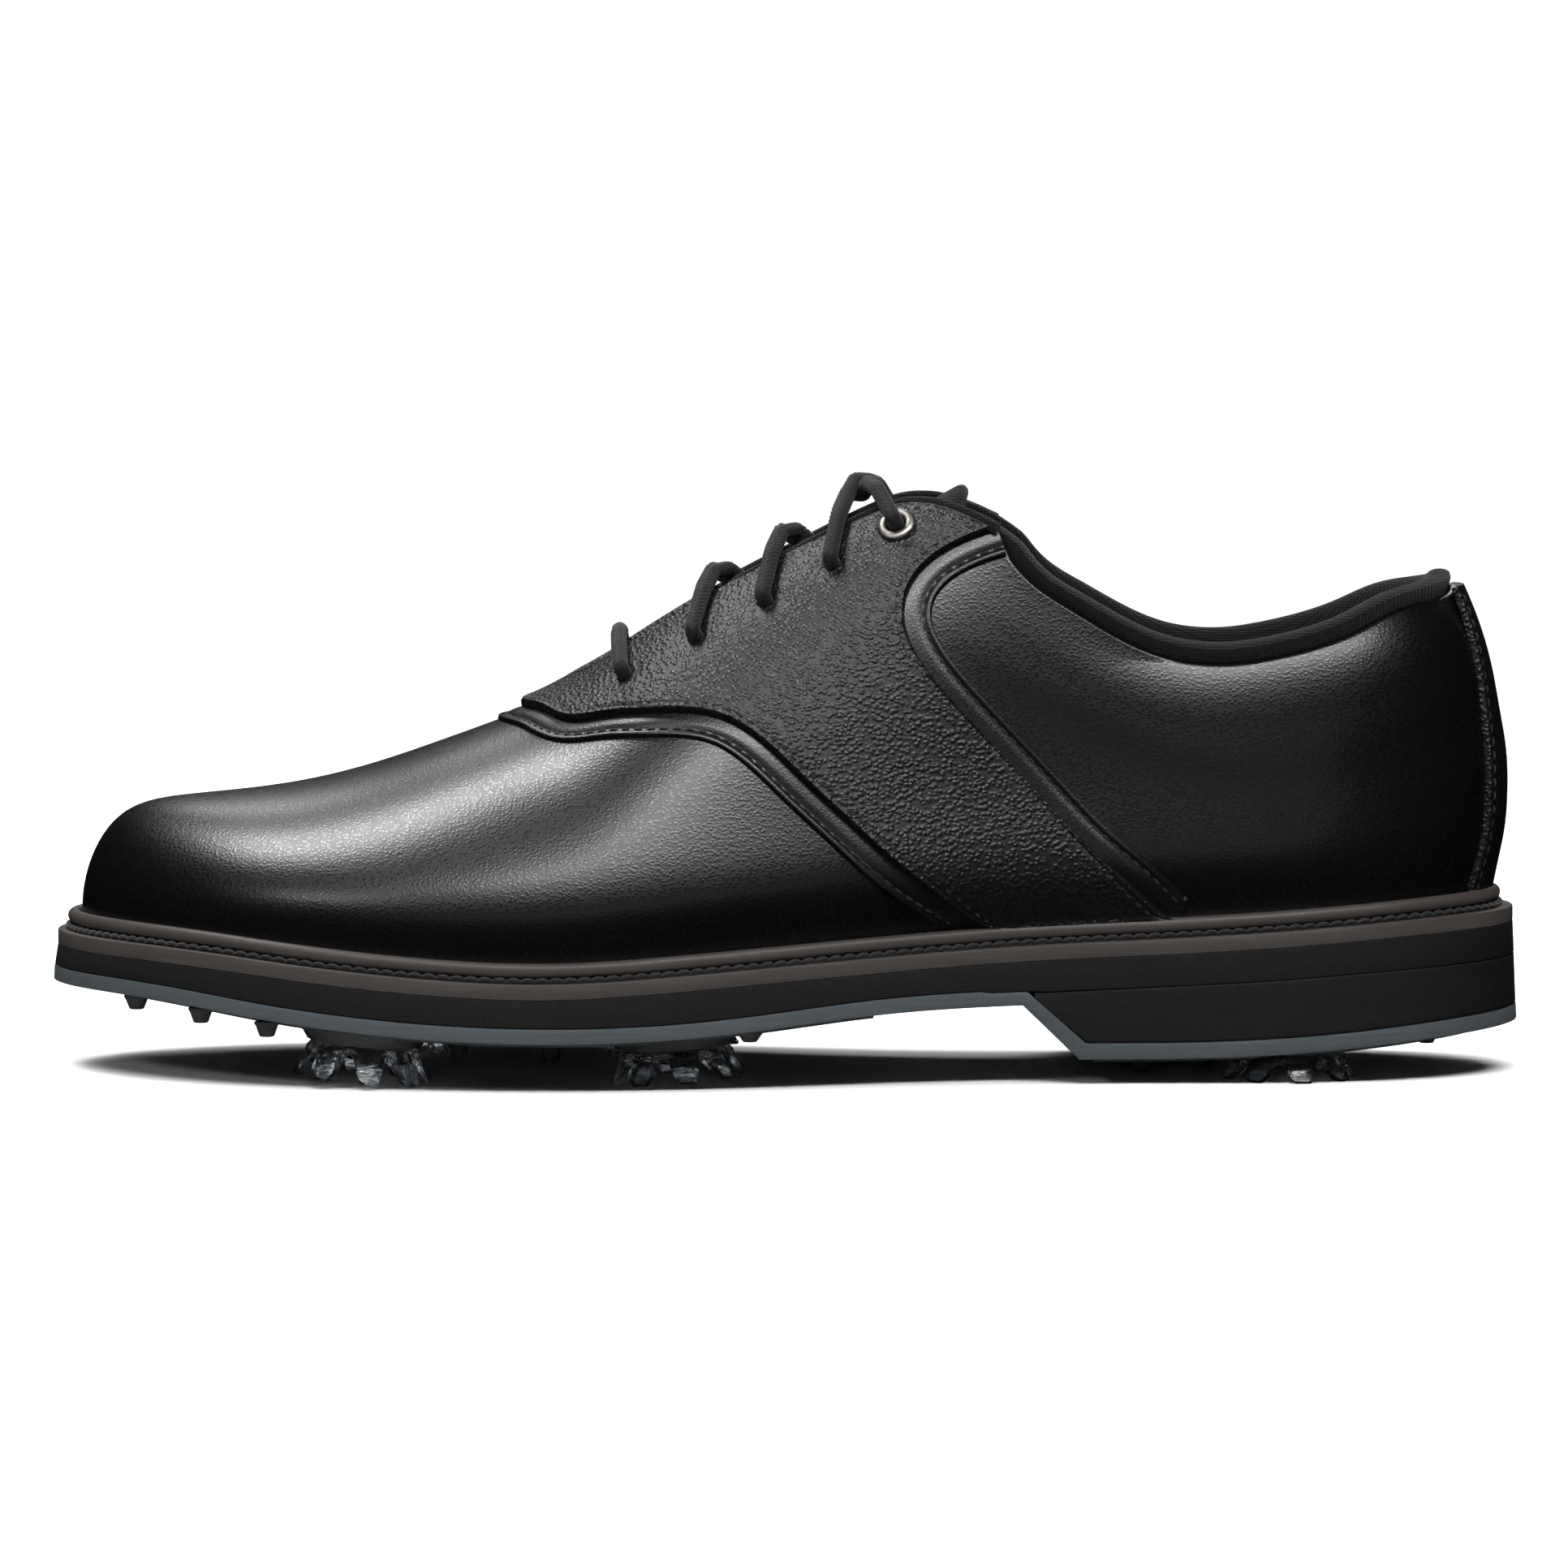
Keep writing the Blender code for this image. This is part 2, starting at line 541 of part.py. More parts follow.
NUBS = {
    "fore": ((-134, -16, 2.4), (-134, 28, 2.4), (-120, -29, 2.6), (-120, 34, 2.6), (-106, -38, 2.6),
             (-106, 42, 2.6), (-112, 3, 3.0), (-67, -24, 5.0), (-48, -24, 5.0), (-64, 22, 5.0),
             (-45, 20, 5.0), (-7, -40, 1.6), (-7, 33, 1.6)),
    "heel": ((74, -18, 2.4), (86, -12, 2.4), (74, 18, 2.4), (86, 12, 2.4), (134, 0, 2.4)),
}


def make_traction(outsole, heel_block):
    for area, stations in (("fore", FRONT_STATIONS[2:15]), ("heel", [65.0] + BACK_STATIONS[:7])):
        body = plate(f"{area}_traction_plate", stations,
                     lambda x: outsole_bottom(x) - GAP, lambda x: outsole_bottom(x) - GAP - PLATE,
                     constant(7.0), constant(7.4), PLATE_PLASTIC)
        for k, (x, y, length) in enumerate(NUBS[area]):
            cut(body, nub(f"{area}_nub_{k}", x, y, length), "UNION")
        seats = {n: s for n, s in CLEAT_SEATS.items() if (s[0] < 40) == (area == "fore")}
        for name, (x, y, tilt) in seats.items():
            place = cleat_place(x, y, tilt)
            ledge = -GAP - PLATE + 0.3
            boss = turned(f"{name}_boss", [(BOSS_R, ledge), (BOSS_R - 1.4, -PLATE - BOSS_DROP)], 16, place,
                          PLATE_PLASTIC, hidden=True)
            if area == "fore":
                cut(body, boss, "UNION")
        for name, (x, y, tilt) in seats.items():
            place = cleat_place(x, y, tilt)
            well = turned(f"{name}_well", [(RECEPTACLE_R + 0.45, -8), (RECEPTACLE_R + 0.45, 5.2)], 16, place,
                          PLATE_PLASTIC, hidden=True)
            seat = -PLATE - (BOSS_DROP if area == "fore" else 0.0) - GAP
            recess = turned(f"{name}_recess", [(CLEAT_R + 0.5, -8), (CLEAT_R + 0.5, seat + 0.3)], 16, place,
                            PLATE_PLASTIC, hidden=True)
            for target, cutter in ((body, recess), (body, well), (outsole, well), (heel_block, well)):
                cut(target, cutter)
            make_receptacle(name, place, seat + GAP + 0.1)
            make_cleat(f"cleat_{name}", place, seat, cleat_depth(place, tilt))


def make_receptacle(name, place, foot):
    roof = foot + 5.2
    profile = [(RECEPTACLE_R, roof), (RECEPTACLE_R, foot), (SOCKET_R, foot), (SOCKET_R, foot + 4.6)]
    turned(f"receptacle_{name}", profile, 12, place, PLATE_PLASTIC)


# ---------------------------------------------------------------- upper


SADDLE_FRONT = ((-44.5, 75.2), (-37.9, 76.3), (-29.3, 77.2), (-21.3, 77.5), (-13.1, 76.2), (-5.0, 71.6),
                (3.2, 64.2), (13.4, 54.9), (23.7, 45.7), (33.8, 37.4), (38.8, 33.6))
SADDLE_REAR = ((43.9, 114.0), (36.2, 111.2), (29.0, 106.6), (25.5, 101.6), (24.8, 95.5), (27.5, 88.5),
               (33.9, 80.0), (44.2, 68.9), (54.5, 57.9), (64.6, 47.4), (74.9, 37.4), (77.2, 35.2))
# The facing's edge and the saddle's tip, as (x, distance from the ridge line in plan).
TIP = ((-50.5, 13.0), (-53.4, 6.0), (-54.4, 0.6))
THROAT = ((-50.0, 0.6), (-44.0, 0.7), (-41.0, 4.0), (-37.0, 7.6), (-30.0, 9.2), (-10.0, 9.8), (10.0, 10.2),
          (20.0, 10.8), (25.0, 11.6), (29.0, 13.1), (32.5, 14.6), (37.0, 16.7), (41.1, 18.4))
COLLAR = ((43.9, 112.0), (47.5, 106.8), (52.0, 102.1), (59.2, 97.4), (64.5, 94.2), (69.9, 91.2), (77.1, 88.2),
          (84.4, 86.7), (92.4, 86.5), (100.5, 87.6), (109.6, 89.7), (118.8, 93.0), (127.0, 96.9))
FLOOR_PHI = 0.012


def saddle_front_edge():
    """From the welt up and forwards to the tip on the ridge."""
    side = locate(SADDLE_FRONT, [0, 2], SADDLE[1], [1.2] * 6 + [0.6] * 5)
    return rounded(np.concatenate([side[::-1], locate_on_ridge(TIP)]))


def saddle_rear_edge():
    """From the welt up to the facing's top corner."""
    side = locate(SADDLE_REAR, [0, 2], SADDLE[1], 0.9)
    return rounded(side[::-1])


def throat_edge():
    return locate_on_ridge(THROAT)


def collar_edge():
    """The top edge of the quarter's leather, from the facing's corner to the heel's centre line."""
    side = locate(COLLAR, [0, 2], SKIN[1], 0.8)
    heel_phi = side[-1, 1] + (side[-1, 1] - side[-2, 1]) * 0.55
    return rounded(np.concatenate([side, [(0.975, heel_phi + 0.018), (1.0, heel_phi + 0.026)]]))


def line(a, b, count):
    t = np.linspace(0, 1, count)[:, None]
    return np.asarray(a) * (1 - t) + np.asarray(b) * t


def both_sides(name, grid, span, finish):
    sides = (("lateral", grid), ("medial", mirrored(grid)))
    return [shell(f"{name}_{side}", sided, span, finish) for side, sided in sides]


def make_upper():
    front, rear, throat, collar = saddle_front_edge(), saddle_rear_edge(), throat_edge(), collar_edge()
    rows = 12
    # Saddle: from the front edge to the rear edge, up to the throat.
    top = np.concatenate([front[-1:], throat, rear[-1:]])
    saddle = coons(resample(line(front[0], rear[0], 9), 15), resample(top, 15),
                   resample(front, rows), resample(rear, rows))
    saddles = both_sides("saddle", saddle, SADDLE, TUMBLED_LEATHER)
    # Backing under the saddle, inside the edges of the vamp, the quarters and the trim.
    low = np.array((0.0, FLOOR_PHI))
    b_front, b_rear = moved(front[:54], 6.0), moved(rear[:56], -6.2)
    b_top = np.concatenate([b_front[-1:], locate_on_ridge(THROAT[4:11]), b_rear[-1:]])
    b_front[0], b_rear[0] = (b_front[0, 0], low[1]), (b_rear[0, 0], low[1])
    backing = coons(resample(line(b_front[0], b_rear[0], 9), 12), resample(b_top, 12),
                    resample(b_front, 13), resample(b_rear, 13))
    backings = both_sides("saddle_backing", backing, BACKING, BOARD)
    # Trim strips that show as a border ahead of and behind the saddle.
    ahead = np.stack([resample(moved(front, d), 18) for d in (-5.6, -1.2, 3.2)])
    behind = np.stack([resample(moved(rear, d), 18) for d in (-3.2, 1.2, 5.6)])
    for strip in (ahead, behind):
        strip[..., 1] = np.clip(strip[..., 1], 0.04, 1.55)
    both_sides("front_trim", ahead, TRIM, SMOOTH_LEATHER)
    both_sides("rear_trim", behind, TRIM, SMOOTH_LEATHER)
    make_vamp(front)
    make_quarters(rear, collar)
    make_linings(front, collar)
    make_collar(collar)
    return saddles, backings


TOE_STATIONS = (0.0, 0.035, 0.075, 0.125, 0.185, 0.26)
TOE_ROWS = (WELT_EDGE_PHI, 0.0, 0.1, 0.2, 0.4, 0.66, 0.94, 1.2, 1.42, QUARTER_TURN)


def reach_of(edge, rows):
    """Where a rising (p, phi) edge crosses each row."""
    order = np.argsort(edge[:, 1])
    reach = np.interp(rows, edge[order, 1], edge[order, 0])
    reach[-1] = reach[-2]
    return reach


def toe_cap(name, reach, span, finish, more):
    """A layer over the toe, wrapped from feather line to feather line, as far back as reach for each row."""
    rows = np.array(TOE_ROWS)
    fixed = np.repeat(np.array(TOE_STATIONS)[None, :], len(rows), 0)
    t = np.linspace(0, 1, more + 1)[None, 1:]
    p = np.concatenate([fixed, TOE_STATIONS[-1] * (1 - t) + np.array(reach)[:, None] * t], 1)
    lateral = np.stack([p, np.repeat(rows[:, None], p.shape[1], 1)], -1)
    return shell(name, np.concatenate([lateral, mirrored(lateral)[::-1][1:]]), span, finish, pole=True)


def make_vamp(front):
    toe_cap("vamp", reach_of(moved(front, 4.0), TOE_ROWS), SKIN, SMOOTH_LEATHER, 8)


def make_quarters(rear, collar):
    front = moved(rear, -3.5)
    front[0] = (front[0, 0], 0.0)
    collar_run = np.concatenate([front[-1:], collar[3:]])
    seam = 0.9985
    collar_run[:, 0] = np.minimum(collar_run[:, 0], seam)
    bottom = line((front[0, 0], 0.0), (seam, 0.0), 12)
    back = line((seam, 0.0), collar_run[-1], 9)
    wall = coons(resample(front, 9), resample(back, 9), resample(bottom, 17), resample(collar_run, 17))
    wall = np.swapaxes(wall, 0, 1)
    skirt = np.stack([wall[0, :, 0], np.full(17, WELT_EDGE_PHI)], -1)[None]
    grid = np.concatenate([skirt, wall])
    both_sides("quarter", grid, SKIN, SMOOTH_LEATHER)
    # Backstay over the heel seam.
    phis = np.linspace(FLOOR_PHI, collar[-1, 1] - 0.01, 9)
    half = np.interp(phis, (0.0, 0.25, 0.7), (0.091, 0.085, 0.052))
    across = np.linspace(-1, 1, 9)[None, :]
    stay = np.stack([1 + half[:, None] * across, np.repeat(phis[:, None], 9, 1)], -1)
    shell("backstay", stay, BACKSTAY, TUMBLED_LEATHER)


def make_linings(front, collar):
    """Toe puff, heel counter, and the linings of the vamp and of the quarters."""
    toe_cap("toe_puff", [TOE_STATIONS[-1]] * len(TOE_ROWS), STIFFENER, BOARD, 0)
    reach = np.minimum(reach_of(moved(front, -3.0), TOE_ROWS), 0.55)
    toe_cap("vamp_lining", reach, LINING, TEXTILE, 4)
    # Side walls behind the vamp lining, up to the collar's pad and, ahead of it, to below the lace.
    below = moved(collar, 14.0)
    heel = np.linspace(0.66, 1.0, 11)
    first = reach[1] + 0.004
    p = np.concatenate([[first, (2 * first + 0.66) / 3, (first + 2 * 0.66) / 3], heel])
    top = np.concatenate([[0.40, 0.44, 0.46], np.interp(heel, below[:, 0], below[:, 1])])
    p, top = np.concatenate([p, 2 - p[::-1][1:]]), np.concatenate([top, top[::-1][1:]])
    low = np.array((WELT_EDGE_PHI, 0.0, 0.1, 0.2))[:, None] + 0 * p
    wall = np.stack([np.repeat(p[None], 6, 0), np.concatenate([low, [(0.2 + top) / 2, top]])], -1)
    shell("quarter_lining", wall, LINING, TEXTILE)
    across, phi = np.linspace(-1, 1, 19)[None, :], np.array((WELT_EDGE_PHI, 0.0, 0.1, 0.2, 0.33))[:, None]
    cup = np.stack([1 + across * (0.28 - 0.18 * phi), phi + across * 0], -1)
    shell("heel_counter", cup, STIFFENER, BOARD)


COLLAR_SECTION = ((-3.4, -9.0), (-2.3, -0.2), (-0.8, 1.2), (-0.2, 2.5), (-1.6, 4.0), (-4.4, 4.4), (-7.2, 1.0),
                  (-7.8, -7.0), (-5.0, -12.0))


def make_collar(collar):
    """The padded textile collar: a soft roll above the leather's edge and the pad behind it."""
    run = resample(collar[2:], 19)
    whole = np.concatenate([run, mirrored(run)[::-1][1:]])
    points, normal = upper(whole[:, 0], whole[:, 1]), skin_normal(whole[:, 0], whole[:, 1])
    along = np.gradient(points, axis=0)
    along /= np.linalg.norm(along, axis=1, keepdims=True)
    rise = np.cross(normal, along)
    rings = []
    for k in range(len(points)):
        taper = min(1.0, 0.45 + 0.12 * min(k, len(points) - 1 - k))
        rings.append([points[k] + normal[k] * (out if out > -3 else -3 + (out + 3) * taper) + rise[k] * up
                      for out, up in COLLAR_SECTION])
    loft("collar", rings, TEXTILE)


def make_tongue():
    """A padded blade under the facings, from its stitched root to the top edge."""
    xs = np.array((-50.0, -40, -30, -20, -10, 0, 10, 20, 28, 33, 35.5))
    half = np.interp(xs, (-50, -20, 20, 32, 35.5), (12.0, 18.0, 21.5, 21.5, 17.0))
    ys = np.linspace(-1, 1, 9)
    outer, inner = np.zeros((11, 9, 3)), np.zeros((11, 9, 3))
    face = np.interp(xs, (28, 36), (TONGUE[1], TONGUE[1] + 2.5))
    for j, share in enumerate(ys):
        side = np.stack([xs, -np.abs(share) * half + 0.02], -1)
        spots = locate_on_ridge(side)
        p = np.where(share > 0, 2 - spots[:, 0], spots[:, 0])
        thick = 1.0 if abs(share) < 0.99 else 0.45
        outer[:, j] = layer(p, spots[:, 1], face)
        inner[:, j] = layer(p, spots[:, 1], face + (TONGUE[0] - TONGUE[1]) * thick)
    return sheets("tongue", outer, inner, TUMBLED_LEATHER)


def locate_on_ridge(pairs):
    """(p, phi) for (x, distance from the ridge line in plan) on the lateral side."""
    x, y = np.array(pairs, float).T
    p = np.arccos(-x / HALF_LENGTH) / math.pi
    for _ in range(12):
        ridge = upper(p, QUARTER_TURN)
        p = p - (ridge[:, 0] - x) / 480.0
    ridge, feather = upper(p, QUARTER_TURN), upper(p, 0.0)
    reach = np.abs(y) / np.abs(feather[:, 1] - ridge[:, 1])
    phi = np.arccos(np.clip(reach, 0, 1) ** (1 / fullness(x)))
    return np.stack([p, np.minimum(phi, QUARTER_TURN - 1e-4)], -1)


# ---------------------------------------------------------------- lacing


def eyelet_frames():
    """For each side and row, the hole's place on the skin and the outward axis."""
    spots = locate(EYELET_ROWS, [0, 2], SADDLE[1], 1.1)
    frames = {}
    for side, grid in (("lateral", spots), ("medial", mirrored(spots))):
        frames[side] = [(upper(p, f), skin_normal(p, f)) for p, f in grid]
    return spots, frames


def facing(point, axis):
    """A matrix with its Z along the hole's axis."""
    turn = Vector(axis).to_track_quat("Z", "Y").to_matrix().to_4x4()
    return Matrix.Translation(Vector(point)) @ turn


def eyelet_profile(top_row):
    if top_row:
        return [(1.95, 3.3), (2.5, 3.7), (3.6, 3.6), (4.1, 2.95), (2.6, 2.95), (2.6, -2.0), (3.5, -2.0),
                (3.3, -2.5), (1.95, -2.5)]
    return [(1.9, 0.9), (2.35, 0.9), (2.35, -2.0), (3.3, -2.0), (3.3, -2.5), (1.9, -2.5)]


def make_eyelets(frames, saddles, backings):
    for side, body, under in (("lateral", saddles[0], backings[0]), ("medial", saddles[1], backings[1])):
        for row, (point, axis) in enumerate(frames[side]):
            last = row == len(EYELET_ROWS) - 1
            place = facing(point, axis)
            punch, bore = (2.95, 2.95) if last else (2.1, 2.7)
            for target, radius, tag in ((body, punch, "punch"), (under, bore, "bore")):
                cutter = turned(f"{tag}_{side}_{row}", [(radius, -5), (radius, 6)], 10, place, EYELET_METAL,
                                hidden=True)
                cut(target, cutter)
            turned(f"eyelet_{side}_{row + 1}", eyelet_profile(last), 14 if last else 10, place, EYELET_METAL,
                   ring=True)


def along_facing(spots, row, side, inward, shift, distance):
    """A point beside an eyelet: inward is its share of the way to the ridge, shift is in rows."""
    rows = np.arange(len(spots))
    p = np.interp(row + shift, rows, spots[:, 0])
    phi = np.interp(row + shift, rows, spots[:, 1])
    phi = phi + (QUARTER_TURN - phi) * inward
    p = p if side == "lateral" else 2 - p
    return layer(p, phi, distance)


def hole_points(frames, side, row, inwards):
    """The lace's points through a hole, from inside to outside, or reversed."""
    point, axis = frames[side][row]
    out = LACE_OUT + (1.0 if row == len(EYELET_ROWS) - 1 else 0.0)
    run = [point + axis * d for d in (LACE_IN, 0.3, out)]
    return run[::-1] if inwards else run


def lace_path(spots, frames):
    """The whole lace: ends tucked inside at the top, criss-crossed from under, a straight bar at the toe."""
    other = {"lateral": "medial", "medial": "lateral"}

    def climb(side):
        """From under the bottom hole of this side up to its end, as a list of points."""
        path, here = [], side
        for row in range(1, 5):
            there, outside, last = other[here], row > 1, row == 4
            high = (row % 2) == (side == "lateral")
            start = LACE_OUT if outside else LACE_IN
            finish = LACE_OUT + 1.3 if last else LACE_IN
            edge = 4.3 if last else -3.4
            over, under = (5.2, 1.9) if last else (2.3, -1.0) if outside else (-0.7, -4.1)
            cross = over if high else under
            path += [along_facing(spots, row - 1, here, 0.4, 0.18, start)]
            path += [along_facing(spots, row - 1, here, 0.74, 0.34, start - 0.1 if outside else -3.4)]
            path += [along_facing(spots, row - 1, here, 0.985, 0.5, cross)]
            path += [along_facing(spots, row - 1, there, 0.74, 0.66, edge)]
            path += [along_facing(spots, row - 1, there, 0.4, 0.82, finish)]
            here = there
            path += hole_points(frames, here, row, inwards=last)
        path += [along_facing(spots, 4, here, -0.22, -0.25, LACE_IN)]
        path += [along_facing(spots, 4, here, -0.32, -0.6, LACE_IN)]
        path += [along_facing(spots, 4, here, -0.34, -1.0 - 0.35 * k, LACE_IN) for k in range(5)]
        return path

    bar = [along_facing(spots, 0, "lateral", a, s, LACE_OUT) for a, s in ((0.35, -0.12), (0.7, -0.22))]
    bar += [along_facing(spots, 0, "lateral", 0.99, -0.28, LACE_OUT - 0.6)]
    bar += [along_facing(spots, 0, "medial", a, s, LACE_OUT) for a, s in ((0.7, -0.22), (0.35, -0.12))]
    left = hole_points(frames, "lateral", 0, inwards=False)
    right = hole_points(frames, "medial", 0, inwards=True)
    return climb("lateral")[::-1] + left + bar + right + climb("medial")


def make_lace(spots, frames):
    path = np.array(lace_path(spots, frames))
    aglet = 5
    tube("lace", path[aglet:-aglet], LACE_R, 6, TEXTILE)
    for name, run in (("aglet_medial", path[: aglet][::-1]), ("aglet_lateral", path[-aglet:])):
        start = run[0] + (run[1] - run[0]) * 0.12
        tube(name, np.concatenate([[start], run[1:3]]), LACE_R - 0.1, 6, PLATE_PLASTIC)


def main():
    for old in list(bpy.data.objects):
        bpy.data.objects.remove(old)
    outsole, heel_block = make_sole()
    make_welt()
    make_welt_stitch()
    make_insole_stack()
    make_traction(outsole, heel_block)
    saddles, backings = make_upper()
    make_tongue()
    spots, frames = eyelet_frames()
    make_eyelets(frames, saddles, backings)
    make_lace(spots, frames)


main()
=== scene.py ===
"""Looks of a left golf saddle shoe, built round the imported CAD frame.

The toe points along -X, the lateral side faces -Y, +Z is up and the ground is z = 0. Shapes are in
millimetres until add_piece() turns them into metres. Every leather is a layer of one upper surface, a
function of p, the place round the shoe (0 toe tip, 0 to 1 lateral side, 1 heel, 1 to 2 medial side),
and of phi, the height on the section (0 at the feather line, a quarter turn at the ridge), as in the CAD part.
"""

import math

import bmesh
import bpy
import numpy as np
from mathutils import Matrix, Vector


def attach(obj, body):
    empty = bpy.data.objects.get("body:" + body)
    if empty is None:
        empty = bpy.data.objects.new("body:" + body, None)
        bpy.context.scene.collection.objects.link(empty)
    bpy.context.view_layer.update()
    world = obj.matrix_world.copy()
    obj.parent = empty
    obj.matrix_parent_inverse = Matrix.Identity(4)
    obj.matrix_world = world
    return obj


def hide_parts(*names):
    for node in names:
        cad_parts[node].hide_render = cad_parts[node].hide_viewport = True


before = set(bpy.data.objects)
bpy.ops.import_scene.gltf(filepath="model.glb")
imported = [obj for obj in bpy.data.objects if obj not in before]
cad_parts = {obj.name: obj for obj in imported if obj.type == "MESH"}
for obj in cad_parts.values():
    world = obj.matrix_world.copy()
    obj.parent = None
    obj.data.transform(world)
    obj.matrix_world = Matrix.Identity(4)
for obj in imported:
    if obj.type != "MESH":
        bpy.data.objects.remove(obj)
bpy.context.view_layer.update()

MM = 0.001
HALF_LENGTH = 152.85
GAP = 0.35
QUARTER_TURN = math.pi / 2
LIP = 3.2
FEATHER_RISE = 4.2
LIP_INSET = 0.9
OUTSOLE_THICKNESS = 3.2
BREAST_TOP_X, BREAST_FOOT_X = 49.0, 60.6
HEEL_STACK_X = 51.5
SKIN = (-1.4, 0.0)
LINING = (-3.9, -3.1)
SADDLE = (1.4, 2.6)
BACKSTAY = (0.5, 1.5)
TONGUE = (-9.0, -6.0)
WELT_EDGE_PHI = -0.2
BELOW_FEATHER = 36.0
LACE_R = 1.5
LACE_OUT = 4.4
LACE_IN = -4.1
EYELET_ROWS = ((-32.9, 83.6), (-18.3, 91.5), (-4.0, 98.9), (9.9, 106.5), (23.2, 114.1))
SIDES = ("lateral", "medial")
CLEAT_SEATS = {
    "fore_lateral": (-86.0, -33.0, 5.0),
    "fore_medial": (-82.0, 33.0, 5.0),
    "ball_lateral": (-22.5, -31.0, -4.0),
    "ball_medial": (-24.0, 27.0, -4.0),
    "heel_lateral": (104.5, -20.0, 0.0),
    "heel_medial": (104.5, 20.0, 0.0),
}
CLEAT_PRONGS = 8
CLEAT_R = 14.0
CROWN_R = 11.6
STUD_R = 5.2
BOSS_R = 13.0
BOSS_DROP = 2.4
PLATE = 0.9


def spline(xs, ys):
    """The natural cubic spline through the points, as a function."""
    x, y = np.array(xs, float), np.array(ys, float)
    n, h = len(x), np.diff(np.array(xs, float))
    a, b = np.eye(n), np.zeros(n)
    for i in range(1, n - 1):
        a[i, i - 1 : i + 2] = h[i - 1], 2 * (h[i - 1] + h[i]), h[i]
        b[i] = 6 * ((y[i + 1] - y[i]) / h[i] - (y[i] - y[i - 1]) / h[i - 1])
    m = np.linalg.solve(a, b)

    def value(q):
        q = np.clip(q, x[0], x[-1])
        i = np.clip(np.searchsorted(x, q, side="right") - 1, 0, n - 2)
        t, u, k = q - x[i], x[i + 1] - q, h[i]
        bend = (m[i] * u**3 + m[i + 1] * t**3) / (6 * k)
        return bend + (y[i] / k - m[i] * k / 6) * u + (y[i + 1] / k - m[i + 1] * k / 6) * t

    return value


plan_centre = spline((-153, -125, -100, -75, -50, -25, 0, 25, 50, 80, 110, 153),
                     (10.2, 5.2, 2.8, 1.2, -0.4, -2.4, -3.4, -2.8, -1.0, 0.8, 1.8, 2.2))
plan_width = spline((-153, -125, -100, -75, -50, -25, 0, 25, 50, 80, 115, 153),
                    (70, 68.2, 64.8, 60.8, 56.9, 51.3, 44.8, 39.6, 37.9, 42.5, 54.0, 65.0))
lip_top = spline((-153, -135, -118, -103, -77, -48.5, -20, 18, 49, 82, 113.5, 137, 153),
                 (28.5, 28.3, 27.4, 25.9, 23.5, 22.4, 24.0, 26.8, 28.7, 30.2, 32.2, 33.7, 34.2))
forefoot_bottom = spline((-153, -136, -121, -108, -96, -73.6, -48.5, -19.6, -1, 18, 49),
                         (17.8, 17.5, 16.2, 14.4, 12.9, 10.9, 10.1, 11.1, 12.9, 15.0, 16.5))
heel_bottom = spline((60.6, 86, 113.5, 137, 153), (5.2, 5.4, 6.9, 9.0, 10.3))
heel_joint = spline((50, 101, 125, 153), (19.3, 21.7, 23.3, 24.5))
feather_inset = spline((-153, -100, -40, 20, 80, 153), (6.0, 5.4, 4.8, 4.8, 5.4, 6.5))
ridge_top = spline((-153, -135, -116, -101, -85.5, -70, -57, -44.8, -29.6, -11, 3.2, 16, 30, 45, 62, 85, 153),
                   (55.4, 56.2, 57.5, 59.5, 63.3, 68.6, 73.4, 79.0, 89.4, 101.6, 109.8, 117.2, 124.6, 130.6,
                    134.5, 137, 138))
fullness = spline((-153, -120, -60, -20, 10, 45, 90, 153), (1.0, 0.97, 1.0, 1.1, 1.1, 0.95, 0.65, 0.5))
ridge_shift = spline((-153, -110, -50, 20, 80, 153), (0.0, 2.0, 4.5, 4.0, 0.0, 0.0))
bulge_lateral = spline((-153, -120, -80, -40, 0, 30, 60, 100, 135, 153),
                       (0, 1.2, 2.4, 3.0, 4.0, 4.3, 3.6, 2.6, 1.2, 0))
bulge_medial = spline((-153, -120, -80, -40, 0, 30, 60, 100, 135, 153),
                      (0, 1.2, 2.2, 3.0, 4.6, 5.4, 4.2, 2.8, 1.2, 0))
heel_profile = spline((0, 6, 11, 19.5, 28, 36.5, 45, 52, 57, 63.5, 80, 110),
                      (0, 1.2, 2.2, 2.9, 2.6, 1.2, -0.4, -2.3, -4.1, -6.9, -14, -26))
BULGE_HEIGHT = 12.0
TOE_ROUNDING = 0.105


def sole_edge(p, inset):
    """Points of the sole's plan outline, moved inwards by inset, and the outward normals."""
    p = np.asarray(p, float)

    def at(q):
        x = -HALF_LENGTH * np.cos(math.pi * q)
        return np.stack([x, plan_centre(x) - np.sin(math.pi * q) * plan_width(x)], -1)

    along = at(p + 1e-4) - at(p - 1e-4)
    normal = np.stack([along[..., 1], -along[..., 0]], -1)
    normal /= np.linalg.norm(normal, axis=-1, keepdims=True)
    return at(p) - normal * np.asarray(inset, float)[..., None], normal


